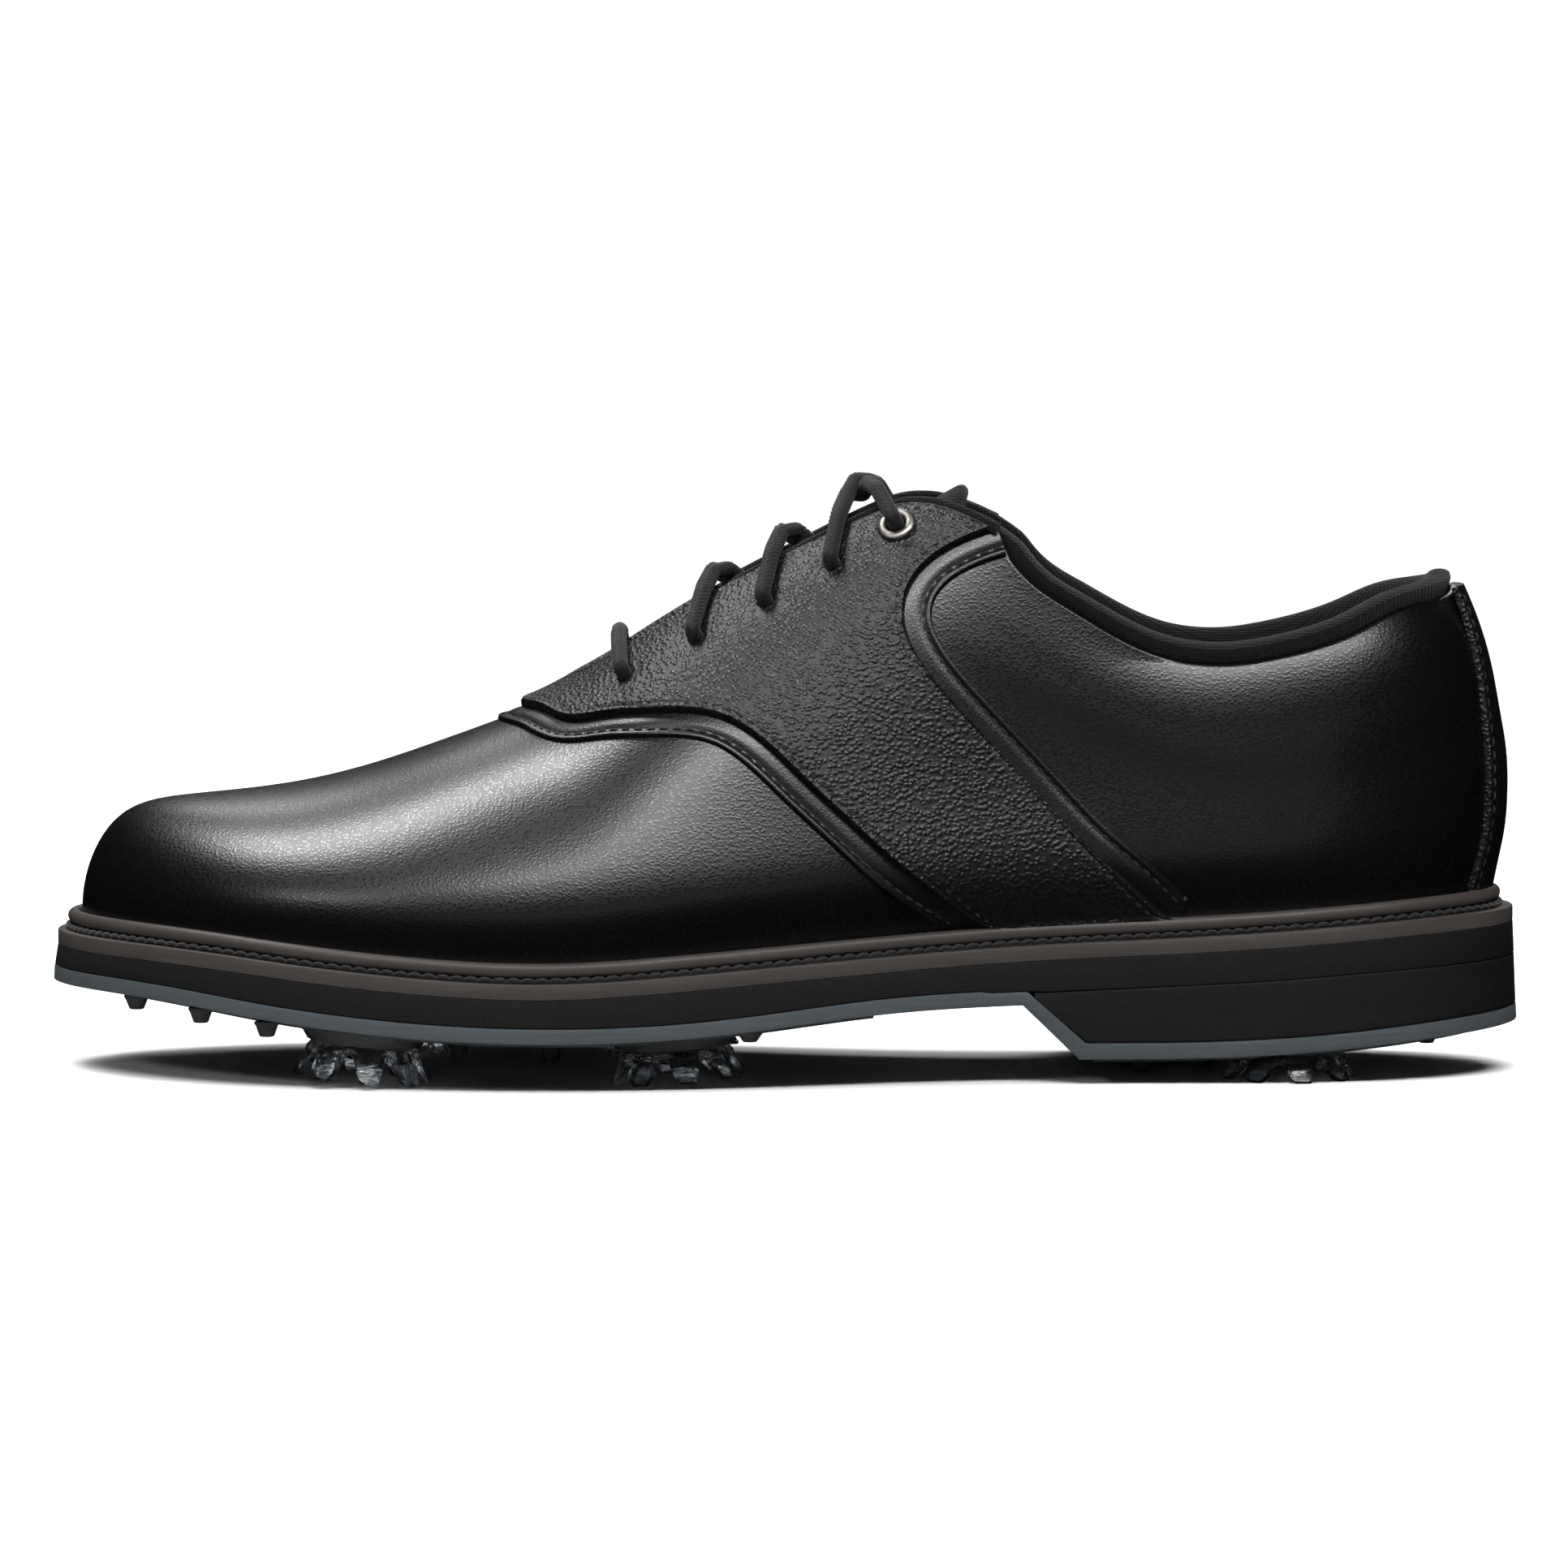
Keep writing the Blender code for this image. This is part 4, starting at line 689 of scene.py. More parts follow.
# Sole layers' edges, as (extra inset, share of the way down).
ROUND_BOTH = ((0.35, 0.0), (0.08, 0.03), (0.0, 0.1), (0.0, 0.35), (0.0, 0.65), (0.0, 0.9), (0.08, 0.97),
              (0.35, 1.0))
CRISP_BOTH = ((0.2, 0.0), (0.04, 0.02), (0.0, 0.06), (0.0, 0.5), (0.0, 0.94), (0.04, 0.98), (0.2, 1.0))
BREAST = [43.0, 46.0, 48.0]


def make_sole():
    upper_x = FRONT + BREAST + [BREAST_TOP_X + 1, 54.0, 58.0, BREAST_FOOT_X + 1.4, 66.0, 70.0] + BACK
    lower_x = FRONT + BREAST + [BREAST_TOP_X, 52.9, 56.7, BREAST_FOOT_X, 65.0, 69.5] + BACK
    outsole = slab_mesh(upper_x, lower_x, outsole_top, outsole_bottom, constant(0.15), constant(0.0),
                        ROUND_BOTH)
    add_piece("outsole_rubber", *outsole, GREY_SOLE, replaces=["outsole"], slot="outsole_rubber")
    mid = FRONT + BREAST + [BREAST_TOP_X + 1, 54.0, 58.0, 62.0, 66.0, 70.0] + BACK
    slab = slab_mesh(mid, mid, lambda x: lip_top(x) - LIP - 0.05, lambda x: midsole_bottom(x) - 0.25,
                     constant(LIP_INSET), lambda x: np.interp(x, (40, 80), (0.25, 0.6)), CRISP_BOTH)
    add_piece("midsole_slab", *slab, BLACK_SOLE, replaces=["midsole"], slot="midsole_foam")
    block = [HEEL_STACK_X, 54.0, 57.0, BREAST_FOOT_X + 1.6, 66.0, 70.0] + BACK
    stack = slab_mesh(block, block, lambda x: heel_joint(x) - GAP, lambda x: outsole_top(x) + 0.06,
                      constant(0.62), constant(0.2), CRISP_BOTH)
    add_piece("heel_stack", *stack, BLACK_SOLE, replaces=["heel_block"], slot="midsole_foam")


def welt_section(p):
    """The storm welt's section, as (inset from the sole's edge, height above the lip's top face)."""
    x = -HALF_LENGTH * math.cos(math.pi * p)
    wall = float(feather_inset(x)) - 0.05
    lip_back = max(wall - 3.1, LIP_INSET + 0.75)
    turn = np.radians(range(245, 5, -20))
    bead = [(wall - 1.5 + 1.45 * math.cos(a), 2.65 + 1.45 * math.sin(a)) for a in turn]
    lip = [(LIP_INSET + 0.1, -LIP), (LIP_INSET, -LIP + 0.15), (LIP_INSET, -1.6), (LIP_INSET, -0.5),
           (LIP_INSET + 0.12, -0.18), (LIP_INSET + 0.42, 0.0), (lip_back, 0.0), (lip_back + 0.2, -0.12),
           (lip_back + 0.7, -0.5), (wall - 1.4, -0.3), (wall - 1.25, 0.6)]
    return lip + bead + [(wall, 2.0), (wall, -LIP)]


def make_welt():
    rings = []
    for p in np.linspace(0, 2, 481)[:-1]:
        inset, height = np.array(welt_section(p)).T
        flat, _ = sole_edge(np.full(len(inset), p), inset)
        rings.append(np.concatenate([flat, (lip_top(flat[:, 0]) + height)[:, None]], -1))
    add_piece("storm_welt", *ring_mesh(rings, loop=True), WELT, replaces=["welt"], slot="welt_rubber")
    make_welt_thread()


def make_welt_thread():
    """The lockstitch in the welt's groove: one plump stitch after another, each end sunk under the next."""
    p = np.linspace(0, 2, 2001)
    x = -HALF_LENGTH * np.cos(math.pi * p)
    flat, _ = sole_edge(p, feather_inset(x) - GAP - 2.55)
    line_at = np.concatenate([flat, (lip_top(flat[:, 0]) + 0.38)[:, None]], -1)
    run = lengths(line_at)
    count = int(run[-1] / 2.9)
    parts = []
    for k in range(count):
        s = (k + np.linspace(-0.08, 1.08, 9)) * run[-1] / count
        path = np.stack([np.interp(s % run[-1], run, line_at[:, i]) for i in range(3)], -1)
        hump = np.sin(np.linspace(0, math.pi, 9))
        path[:, 2] += 0.5 * hump - 0.15 + 0.22 * np.linspace(-1, 1, 9)
        parts.append(ring_mesh(tube_rings(path, 0.22 + 0.36 * hump**0.5, 8)))
    add_piece("welt_lockstitch", *merged(parts), THREAD, replaces=["welt_stitching"], slot="thread")


# ---------------------------------------------------------------- cleats


def cleat_place(x, y, tilt):
    """The frame of one cleat: origin on the sole's bottom face, local Z up along the cleat's axis."""
    turn = Matrix.Rotation(math.radians(tilt), 4, "Y")
    return Matrix.Translation((x, y, float(outsole_bottom(np.array(x))))) @ turn


def cleat_depth(place, tilt):
    """How far the prongs' tips lie below the local origin, so that the lowest one touches the ground."""
    reach = CLEAT_R * abs(math.sin(math.radians(tilt)))
    return (place.translation.z - reach) / math.cos(math.radians(tilt))


def cleat_sector(angle):
    """1 on a prong, 0 in the gap between two, at an angle round the cleat."""
    wave = 0.5 + 0.5 * math.cos(angle * CLEAT_PRONGS)
    return float(np.clip((wave - 0.12) / 0.62, 0, 1)) ** 0.8


def cleat_cut(w, seat, depth):
    """(radius, height) down one radial cut, w of the way from a gap to a prong."""
    tip, mid = -depth, (seat - depth) / 2
    gap = [(CROWN_R - 0.2, seat - 0.7), (CROWN_R - 0.1, seat - 1.1), (CROWN_R - 0.3, seat - 1.4),
           (CROWN_R - 0.8, seat - 1.6), (CROWN_R - 1.5, seat - 1.7), (CROWN_R - 2.2, seat - 1.7),
           (CROWN_R - 3.0, seat - 1.7), (CROWN_R - 3.8, seat - 1.7)]
    prong = [(CROWN_R + 0.2, seat - 1.0), (CROWN_R + 0.5, mid + 0.6), (CROWN_R + 1.1, mid - 0.6),
             (CLEAT_R - 0.1, tip + 0.5), (CLEAT_R - 0.35, tip), (CLEAT_R - 1.9, tip),
             (CROWN_R - 0.9, mid + 0.1), (CROWN_R - 2.8, seat - 1.8)]
    legs = [tuple((1 - w) * g + w * q for g, q in zip(a, b)) for a, b in zip(gap, prong)]
    top = [(STUD_R, seat + 4.2), (STUD_R, seat), (CROWN_R - 1.6, seat), (CROWN_R - 0.5, seat - 0.15)]
    return top + legs + [(6.2, seat - 1.9), (5.4, seat - 2.3), (4.6, seat - 2.9), (3.6, seat - 3.1)]


def make_cleat(name, place, seat, depth):
    sides = CLEAT_PRONGS * 14
    cuts = []
    for k in range(sides):
        a = 2 * math.pi * k / sides
        cuts.append([(r * math.cos(a), r * math.sin(a), z)
                     for r, z in cleat_cut(cleat_sector(a - math.pi * 0.4 / CLEAT_PRONGS), seat, depth)])
    rings = placed(np.swapaxes(np.array(cuts), 0, 1), place)
    add_piece(f"{name}_clear", *ring_mesh(rings), CLEAR, body=name, replaces=[name], slot="clear_plastic",
              sharp=50)


NUBS = {
    "fore": ((-134, -16, 2.4), (-134, 28, 2.4), (-120, -29, 2.6), (-120, 34, 2.6), (-106, -38, 2.6),
             (-106, 42, 2.6), (-112, 3, 3.0), (-67, -24, 5.0), (-48, -24, 5.0), (-64, 22, 5.0),
             (-45, 20, 5.0), (-7, -40, 1.6), (-7, 33, 1.6)),
    "heel": ((74, -18, 2.4), (86, -12, 2.4), (74, 18, 2.4), (86, 12, 2.4), (134, 0, 2.4)),
}


def nub_mesh(x, y, length):
    """A tapered traction nub with a rounded foot."""
    z = float(outsole_bottom(np.array(x))) - GAP - PLATE
    tip = z - length
    profile = [(2.6, z + 0.5), (2.6, z), (2.35, z - 0.25), (1.6, tip + 0.25), (1.35, tip), (0.4, tip)]
    return turned_mesh(profile, 24, Matrix.Translation((x, y, 0)))


def boss_mesh(place, drop):
    """The raised seat round a forefoot cleat."""
    foot = -PLATE - drop
    profile = [(BOSS_R + 0.3, -GAP), (BOSS_R + 0.1, -PLATE - 0.4), (BOSS_R - 0.3, -PLATE - 0.8),
               (BOSS_R - 1.2, foot + 0.2), (BOSS_R - 1.7, foot), (6.0, foot)]
    return turned_mesh(profile, 72, place)


def make_traction():
    for area, stations in (("fore", FRONT[8:78]), ("heel", [64.0, 67.0, 70.0] + BACK[:46])):
        parts = [slab_mesh(stations, stations, lambda x: outsole_bottom(x) - 0.02,
                           lambda x: outsole_bottom(x) - GAP - PLATE, constant(6.6), constant(7.2),
                           ((0.0, 0.0), (0.0, 0.7), (0.1, 0.92), (0.4, 1.0)))]
        parts += [nub_mesh(*spot) for spot in NUBS[area]]
        for name, (x, y, tilt) in CLEAT_SEATS.items():
            if (x < 40) != (area == "fore"):
                continue
            place = cleat_place(x, y, tilt)
            drop = BOSS_DROP if area == "fore" else 0.0
            if drop:
                parts.append(boss_mesh(place, drop))
            make_cleat(f"cleat_{name}", place, -PLATE - drop - GAP, cleat_depth(place, tilt))
        add_piece(f"{area}_traction", *merged(parts), PLATE_BLACK, replaces=[f"{area}_traction_plate"],
                  slot="plate_plastic")


# ---------------------------------------------------------------- upper


# Edges as (x, z) seen from the side.
SADDLE_FRONT = ((-44.5, 75.2), (-37.9, 76.3), (-29.3, 77.2), (-21.3, 77.5), (-13.1, 76.2), (-5.0, 71.6),
                (3.2, 64.2), (13.4, 54.9), (23.7, 45.7), (33.8, 37.4), (38.8, 33.6))
SADDLE_REAR = ((43.9, 114.0), (36.2, 111.2), (29.0, 106.6), (25.5, 101.6), (24.8, 95.5), (27.5, 88.5),
               (33.9, 80.0), (44.2, 68.9), (54.5, 57.9), (64.6, 47.4), (74.9, 37.4), (77.2, 35.2))
# The saddle's tip and the facing's edge, as (x, distance from the ridge line in plan).
TIP = ((-50.5, 13.0), (-53.4, 6.0), (-54.4, 0.6))
THROAT = ((-50.0, 0.6), (-44.0, 0.7), (-41.0, 4.0), (-37.0, 7.6), (-30.0, 9.2), (-10.0, 9.8), (10.0, 10.2),
          (20.0, 10.8), (25.0, 11.6), (29.0, 13.1), (32.5, 14.6), (37.0, 16.7), (41.1, 18.4))
# The quarter's top edge as (x, z).
COLLAR = ((43.9, 112.0), (47.5, 106.8), (52.0, 102.1), (59.2, 97.4), (64.5, 94.2), (69.9, 91.2), (77.1, 88.2),
          (84.4, 86.7), (92.4, 86.5), (100.5, 87.6), (109.6, 89.7), (118.8, 93.0), (127.0, 96.9))


def saddle_front_edge():
    """From the welt up and forwards to the tip on the ridge."""
    side = locate(SADDLE_FRONT, [0, 2], SADDLE[1], [1.2] * 6 + [0.6] * 5)
    return rounded(np.concatenate([side[::-1], locate_on_ridge(TIP)]))


def saddle_rear_edge():
    """From the welt up to the facing's top corner."""
    side = locate(SADDLE_REAR, [0, 2], SADDLE[1], 0.9)
    return rounded(side[::-1])


def throat_edge():
    return locate_on_ridge(THROAT)


def collar_edge():
    """The top edge of the quarter's leather, from the facing's corner to the heel's centre line."""
    side = locate(COLLAR, [0, 2], SKIN[1], 0.8)
    heel_phi = side[-1, 1] + (side[-1, 1] - side[-2, 1]) * 0.55
    return rounded(np.concatenate([side, [(0.975, heel_phi + 0.018), (1.0, heel_phi + 0.026)]]))


def line(a, b, count):
    t = np.linspace(0, 1, count)[:, None]
    return np.asarray(a) * (1 - t) + np.asarray(b) * t


def locate_on_ridge(pairs):
    """(p, phi) for (x, distance from the ridge line in plan) on the lateral side."""
    x, y = np.array(pairs, float).T
    p = np.arccos(-x / HALF_LENGTH) / math.pi
    for _ in range(12):
        ridge = upper(p, QUARTER_TURN)
        p = p - (ridge[:, 0] - x) / 480.0
    ridge, feather = upper(p, QUARTER_TURN), upper(p, 0.0)
    reach = np.abs(y) / np.abs(feather[:, 1] - ridge[:, 1])
    phi = np.arccos(np.clip(reach, 0, 1) ** (1 / fullness(x)))
    return np.stack([p, np.minimum(phi, QUARTER_TURN - 1e-4)], -1)


def border_depth(points, rolled):
    """Distance of each grid point from the nearest of the named borders."""
    down = np.zeros(points.shape[:2])
    down[1:] = np.cumsum(np.linalg.norm(np.diff(points, axis=0), axis=-1), axis=0)
    across = np.zeros(points.shape[:2])
    across[:, 1:] = np.cumsum(np.linalg.norm(np.diff(points, axis=1), axis=-1), axis=1)
    runs = {"bottom": down, "top": down[-1:] - down, "left": across, "right": across[:, -1:] - across}
    return np.min([runs[k] for k in rolled], axis=0) if rolled else np.full(down.shape, 99.0)


def leather_mesh(grid, inner, outer, rolled=(), roll=0.9, stitch=None, dimples=(), pole=False, lean=0.0):
    """A leather over a (p, phi) grid, with rolled edges, a sunk stitch line and dimples at its holes."""
    p, phi = grid[..., 0], grid[..., 1]
    skin = upper(p, phi)
    depth = border_depth(skin, rolled)
    crown = np.sqrt(1 - (1 - np.clip(depth / roll, 0, 1)) ** 2)
    height = inner + 0.05 + (outer - inner - 0.05) * crown
    if stitch:
        height = height - 0.22 * np.exp(-(((depth - stitch) / 0.55) ** 2))
    for point in dimples:
        gap = np.linalg.norm(skin - point, axis=-1)
        height = height - 0.5 * np.exp(-((gap / 2.7) ** 2))
    return sheet_mesh(layer(p, phi, height + lean), layer(p, phi, inner + lean), pole)


def on_both_sides(name, grid, finish, nodes=(), slot=None, **shape):
    made = []
    for side, sided in (("lateral", grid), ("medial", mirrored(grid))):
        here = dict(shape)
        if "holes" in here:
            here["dimples"] = here.pop("holes")[side]
        made.append(add_piece(f"{name}_{side}", *leather_mesh(sided, **here), finish,
                              replaces=[f"{n}_{side}" for n in nodes], slot=slot))
    return made


def to_welt(curve):
    """The edge with its foot carried down to the feather line, behind the welt's bead."""
    first, second = curve[0], curve[6]
    foot = first + (second - first) * (first[1] + 0.02) / (first[1] - second[1])
    return np.concatenate([[foot], curve])


def saddle_grid(front, rear, throat):
    top = np.concatenate([front[-1:], throat, rear[-1:]])
    bottom = line(front[0], rear[0], 30)
    return patch(bottom, top, front, rear, shares(run_length(front), 1.0), shares(run_length(bottom), 0.9))


def make_saddles(front, rear, throat):
    spots, frames = eyelet_frames()
    holes = {side: [point for point, _ in frames[side]] for side in frames}
    grid = saddle_grid(front, rear, throat)
    pieces = on_both_sides("saddle_leather", grid, PEBBLED, ["saddle"], "tumbled_leather", inner=0.75,
                           outer=SADDLE[1], rolled=("left", "right", "top"), roll=1.0, stitch=1.9,
                           holes=holes)
    for side, piece in zip(SIDES, pieces):
        punch(piece, frames[side])
    return spots, frames


def punch(piece, places):
    """Cuts the five lace holes through a saddle."""
    parts = []
    for row, (point, axis) in enumerate(places):
        radius = 2.6 if row == len(places) - 1 else 1.95
        parts.append(turned_mesh([(radius, -6), (radius, 7)], 28, facing(point, axis)))
    verts, faces = merged(parts)
    cutter = bpy.data.objects.new("cutter", bpy.data.meshes.new("cutter"))
    cutter.data.from_pydata((verts * MM).tolist(), [], faces)
    cutter.data.materials.append(piece.data.materials[0])
    bpy.context.scene.collection.objects.link(cutter)
    modifier = piece.modifiers.new("holes", "BOOLEAN")
    modifier.object, modifier.operation, modifier.solver = cutter, "DIFFERENCE", "EXACT"
    dg = bpy.context.evaluated_depsgraph_get()
    done = bpy.data.meshes.new_from_object(piece.evaluated_get(dg), depsgraph=dg)
    piece.modifiers.clear()
    piece.data = done
    done.shade_smooth()
    done.set_sharp_from_angle(angle=math.radians(38))
    bpy.data.objects.remove(cutter)


# Across a trim strip, as (distance from its outer edge, height).
STRIP_FORM = ((0.0, -0.05), (0.12, 0.5), (0.4, 0.92), (0.8, 1.02), (1.15, 0.92), (1.5, 0.62), (1.9, 0.5),
              (2.3, 0.6), (2.8, 0.8), (3.6, 0.85), (4.6, 0.8), (5.6, 0.75), (6.6, 0.7))


def make_strips(front, rear):
    """The narrow strips beside the saddle, each with a raised rim and a sunk stitch line."""
    reach, height = np.array(STRIP_FORM).T
    for name, edge, outward in (("front_strip", front, -1), ("rear_strip", rear, 1)):
        even = np.linspace(0, 1, int(run_length(edge)))
        base = resample(edge, even)
        grid = np.stack([moved(base, outward * (5.6 - r)) for r in reach])
        grid[..., 1] = np.clip(grid[..., 1], -0.03, 1.5695)
        for side, sided in (("lateral", grid), ("medial", mirrored(grid))):
            p, phi = sided[..., 0], sided[..., 1]
            outer = layer(p, phi, np.repeat(height[:, None], p.shape[1], 1))
            mesh = sheet_mesh(outer, layer(p, phi, -0.3))
            node = name.replace("strip", "trim") + "_" + side
            add_piece(f"{name}_{side}", *mesh, STRIP, replaces=[node], slot="smooth_leather")


def toe_grid(reach, rows, ahead=64, behind=90):
    """A (p, phi) grid wrapped over the toe from feather line to feather line."""
    toe = 0.26
    p = np.concatenate([np.repeat(np.linspace(0, toe, ahead)[None], len(rows), 0),
                        toe + (np.array(reach)[:, None] - toe) * np.linspace(0, 1, behind + 1)[None, 1:]], 1)
    lateral = np.stack([p, np.repeat(np.array(rows)[:, None], p.shape[1], 1)], -1)
    return np.concatenate([lateral, mirrored(lateral)[::-1][1:]])


def reach_of(edge, rows):
    """Where a rising (p, phi) edge crosses each row."""
    order = np.argsort(edge[:, 1])
    return np.interp(rows, edge[order, 1], edge[order, 0])


def make_vamp(front):
    rows = np.concatenate([[WELT_EDGE_PHI, -0.1, -0.04], np.linspace(0, QUARTER_TURN, 56)])
    edge = moved(front, 2.5)
    grid = toe_grid(reach_of(edge, rows), rows)
    add_piece("vamp_leather", *leather_mesh(grid, SKIN[0], SKIN[1], pole=True), SMOOTH, replaces=["vamp"],
              slot="smooth_leather")


def make_quarters(rear, collar):
    front = moved(rear, -2.5)
    front[0] = (front[0, 0], 0.0)
    top = np.concatenate([front[-1:], collar[3:]])
    top[:, 0] = np.minimum(top[:, 0], 0.9995)
    bottom, back = line((front[0, 0], 0.0), (0.9995, 0.0), 40), line((0.9995, 0.0), top[-1], 30)
    grid = patch(front, back, bottom, top, np.linspace(0, 1, 130), shares(95.0, 1.0)).swapaxes(0, 1)
    skirt = np.stack([grid[0, :, 0], np.full(grid.shape[1], WELT_EDGE_PHI)], -1)[None]
    grid = np.concatenate([skirt, grid])
    on_both_sides("quarter_leather", grid, SMOOTH, ["quarter"], "smooth_leather", inner=SKIN[0],
                  outer=SKIN[1], rolled=("top",), roll=0.9, lean=topline_lean(grid))
    make_backstay(collar)


def topline_lean(grid):
    """How far the soft leather leans in towards its top edge, and stands out below that, in millimetres."""
    skin = upper(grid[..., 0], grid[..., 1])
    depth = border_depth(skin, ("top",))
    clear = np.clip((grid[..., 0] - grid[..., 0].min(axis=1, keepdims=True)) / 0.09, 0, 1)
    clear = clear * np.clip((1 - grid[..., 0]) / 0.08, 0, 1)
    roll_in = -2.6 * np.clip(1 - depth / 13.0, 0, 1) ** 2
    return clear * (roll_in + 0.4 * np.exp(-(((depth - 20.0) / 7.0) ** 2)))


def make_backstay(collar):
    phis = np.linspace(-0.02, collar[-1, 1] - 0.01, 70)
    half = np.interp(phis, (0.0, 0.25, 0.7), (0.091, 0.085, 0.052))
    across = 2 * shares(34.0, 1.0) - 1
    stay = np.stack([1 + half[:, None] * across[None], np.repeat(phis[:, None], len(across), 1)], -1)
    add_piece("backstay_leather", *leather_mesh(stay, 0.0, BACKSTAY[1], ("left", "right"), 0.8, 1.8), PEBBLED,
              replaces=["backstay"], slot="tumbled_leather")
    rows = [(moved(np.stack([1 + s * half, phis], -1), -s * 1.7), BACKSTAY[1] - 0.2) for s in (-1, 1)]
    add_stitches("backstay_stitches", [(resample(row, np.linspace(0, 1, 160)), up) for row, up in rows])


def make_linings(front, collar):
    """The linings of the forefoot and of the rear, then the footbed inside them."""
    rows = np.concatenate([[WELT_EDGE_PHI], np.linspace(0, QUARTER_TURN, 30)])
    reach = np.minimum(reach_of(moved(front, -3.0), rows), 0.55)
    grid = toe_grid(reach, rows, 40, 30)
    add_piece("forefoot_lining", *leather_mesh(grid, LINING[0], LINING[1], pole=True), LINING_CLOTH,
              replaces=["vamp_lining"], slot="textile")
    below = moved(collar, 12.0)
    p = np.concatenate([np.linspace(0.55, 0.66, 12)[:-1], np.linspace(0.66, 1.0, 60)])
    top = np.where(p < 0.66, np.interp(p, (0.55, 0.66), (0.40, 0.48)), np.interp(p, below[:, 0], below[:, 1]))
    p, top = np.concatenate([p, 2 - p[::-1][1:]]), np.concatenate([top, top[::-1][1:]])
    t = np.linspace(0, 1, 26)[:, None]
    wall = np.stack([np.repeat(p[None], 26, 0), WELT_EDGE_PHI + t * (top[None] - WELT_EDGE_PHI)], -1)
    add_piece("rear_lining", *leather_mesh(wall, LINING[0], LINING[1]), LINING_CLOTH,
              replaces=["quarter_lining"], slot="textile")
    make_footbed()


def make_footbed():
    whole = end_stations(-HALF_LENGTH, HALF_LENGTH, 110)
    crown = ((1.2, 0.0), (0.5, 0.06), (0.1, 0.2), (0.0, 0.5), (0.0, 1.0))
    slab = slab_mesh(whole, whole, lambda x: lip_top(x) + 5.2, lambda x: lip_top(x) + 1.0,
                     lambda x: feather_inset(x) - LINING[0] + 1.1,
                     lambda x: feather_inset(x) - LINING[0] + 1.0, crown)
    bed = add_piece("footbed", *slab, LINING_CLOTH, replaces=["sockliner"], slot="textile")


# Round the collar, as (outwards from the skin, up from the leather's edge).
COLLAR_SECTION = ((-3.4, -9.0), (-2.3, -0.2), (-0.8, 1.2), (-0.2, 2.5), (-1.6, 4.0), (-4.4, 4.4), (-7.2, 1.0),
                  (-7.8, -7.0), (-5.0, -12.0))


def closed_curve(points, count):
    """A smooth closed curve through a few points, by a cubic over three turns of them."""
    points = np.asarray(points, float)
    wrapped = np.concatenate([points] * 3 + [points[:1]])
    s = lengths(wrapped)
    turn = s[len(points)]
    t = turn + turn * np.arange(count) / count
    return np.stack([spline(s, wrapped[:, k])(t) for k in range(2)], -1)


def make_collar(collar):
    """The padded collar: a soft roll above the leather's edge and the pad behind it."""
    ahead = collar[2] + (collar[2] - collar[8]) * np.linspace(1.5, 0.1, 6)[:, None]
    run = resample(np.concatenate([ahead, collar[2:]]), np.linspace(0, 1, 130))
    whole = np.concatenate([run, mirrored(run)[::-1][1:]])
    points, normal = upper(whole[:, 0], whole[:, 1]), skin_normal(whole[:, 0], whole[:, 1])
    for _ in range(6):
        normal[1:-1] = normal[:-2] + 2 * normal[1:-1] + normal[2:]
        normal /= np.linalg.norm(normal, axis=1, keepdims=True)
    along = np.gradient(points, axis=0)
    along /= np.linalg.norm(along, axis=1, keepdims=True)
    rise = np.cross(normal, along)
    rise /= np.linalg.norm(rise, axis=1, keepdims=True)
    section = closed_curve(COLLAR_SECTION, 40)
    rings = []
    for k in range(len(points)):
        taper = min(1.0, 0.45 + 0.02 * min(k, len(points) - 1 - k))
        out = np.where(section[:, 0] > -3, section[:, 0], -3 + (section[:, 0] + 3) * taper)
        tuck = 1.2 * taper * min(1.0, abs(k - len(points) // 2) / 16)
        rings.append(points[k] + normal[k] * (out[:, None] - tuck) + rise[k] * section[:, 1:2])
    roll = add_piece("collar_pad", *ring_mesh(rings), KNIT, replaces=["collar"], slot="textile")


def make_tongue():
    """The padded tongue under the facings, with a bound edge."""
    xs = np.concatenate([np.linspace(-50, 33, 84), (34.0, 34.8, 35.3, 35.5)])
    half = np.interp(xs, (-50, -20, 20, 32, 35.5), (12.0, 18.0, 21.5, 21.5, 17.0))
    across = np.concatenate([(-1, -0.985, -0.96), np.linspace(-0.92, 0.92, 44), (0.96, 0.985, 1)])
    face = np.interp(xs, (28, 36), (TONGUE[1], TONGUE[1] + 0.6))
    end = np.clip((35.5 - xs) / 1.6, 0, 1)
    outer, inner = np.zeros((len(xs), len(across), 3)), np.zeros((len(xs), len(across), 3))
    for j, share in enumerate(across):
        spots = locate_on_ridge(np.stack([xs, -np.abs(share) * half + 0.02], -1))
        p = np.where(share > 0, 2 - spots[:, 0], spots[:, 0])
        rim = math.sqrt(max(0.0, 1 - max(0.0, (abs(share) - 0.93) / 0.07) ** 2)) * 0.5 + 0.02
        plump = rim * np.sqrt(1 - (1 - end) ** 2) + 0.02
        middle = face + (TONGUE[0] - TONGUE[1]) * 0.5
        outer[:, j] = layer(p, spots[:, 1], middle + 3.0 * plump)
        inner[:, j] = layer(p, spots[:, 1], middle - 3.0 * plump)
    blade = add_piece("tongue_pad", *sheet_mesh(outer, inner), KNIT, body="tongue_flap", replaces=["tongue"],
                      slot="tumbled_leather")


def make_bindings(throat, rear):
    """The knitted binding over the facing's edge, from below the top eyelet round to the collar."""
    path = np.concatenate([throat[-34:], rear[-1:]])
    for side, sided in (("lateral", path), ("medial", mirrored(path))):
        line_at = layer(sided[:, 0], sided[:, 1], 1.6)
        points, _ = smooth_path(line_at, 0.8)
        swell = 1.25 * np.ones(len(points))
        swell[:6] *= np.linspace(0.3, 1, 6)
        add_piece(f"facing_binding_{side}", *ring_mesh(tube_rings(points, swell, 14)), KNIT, slot="textile")


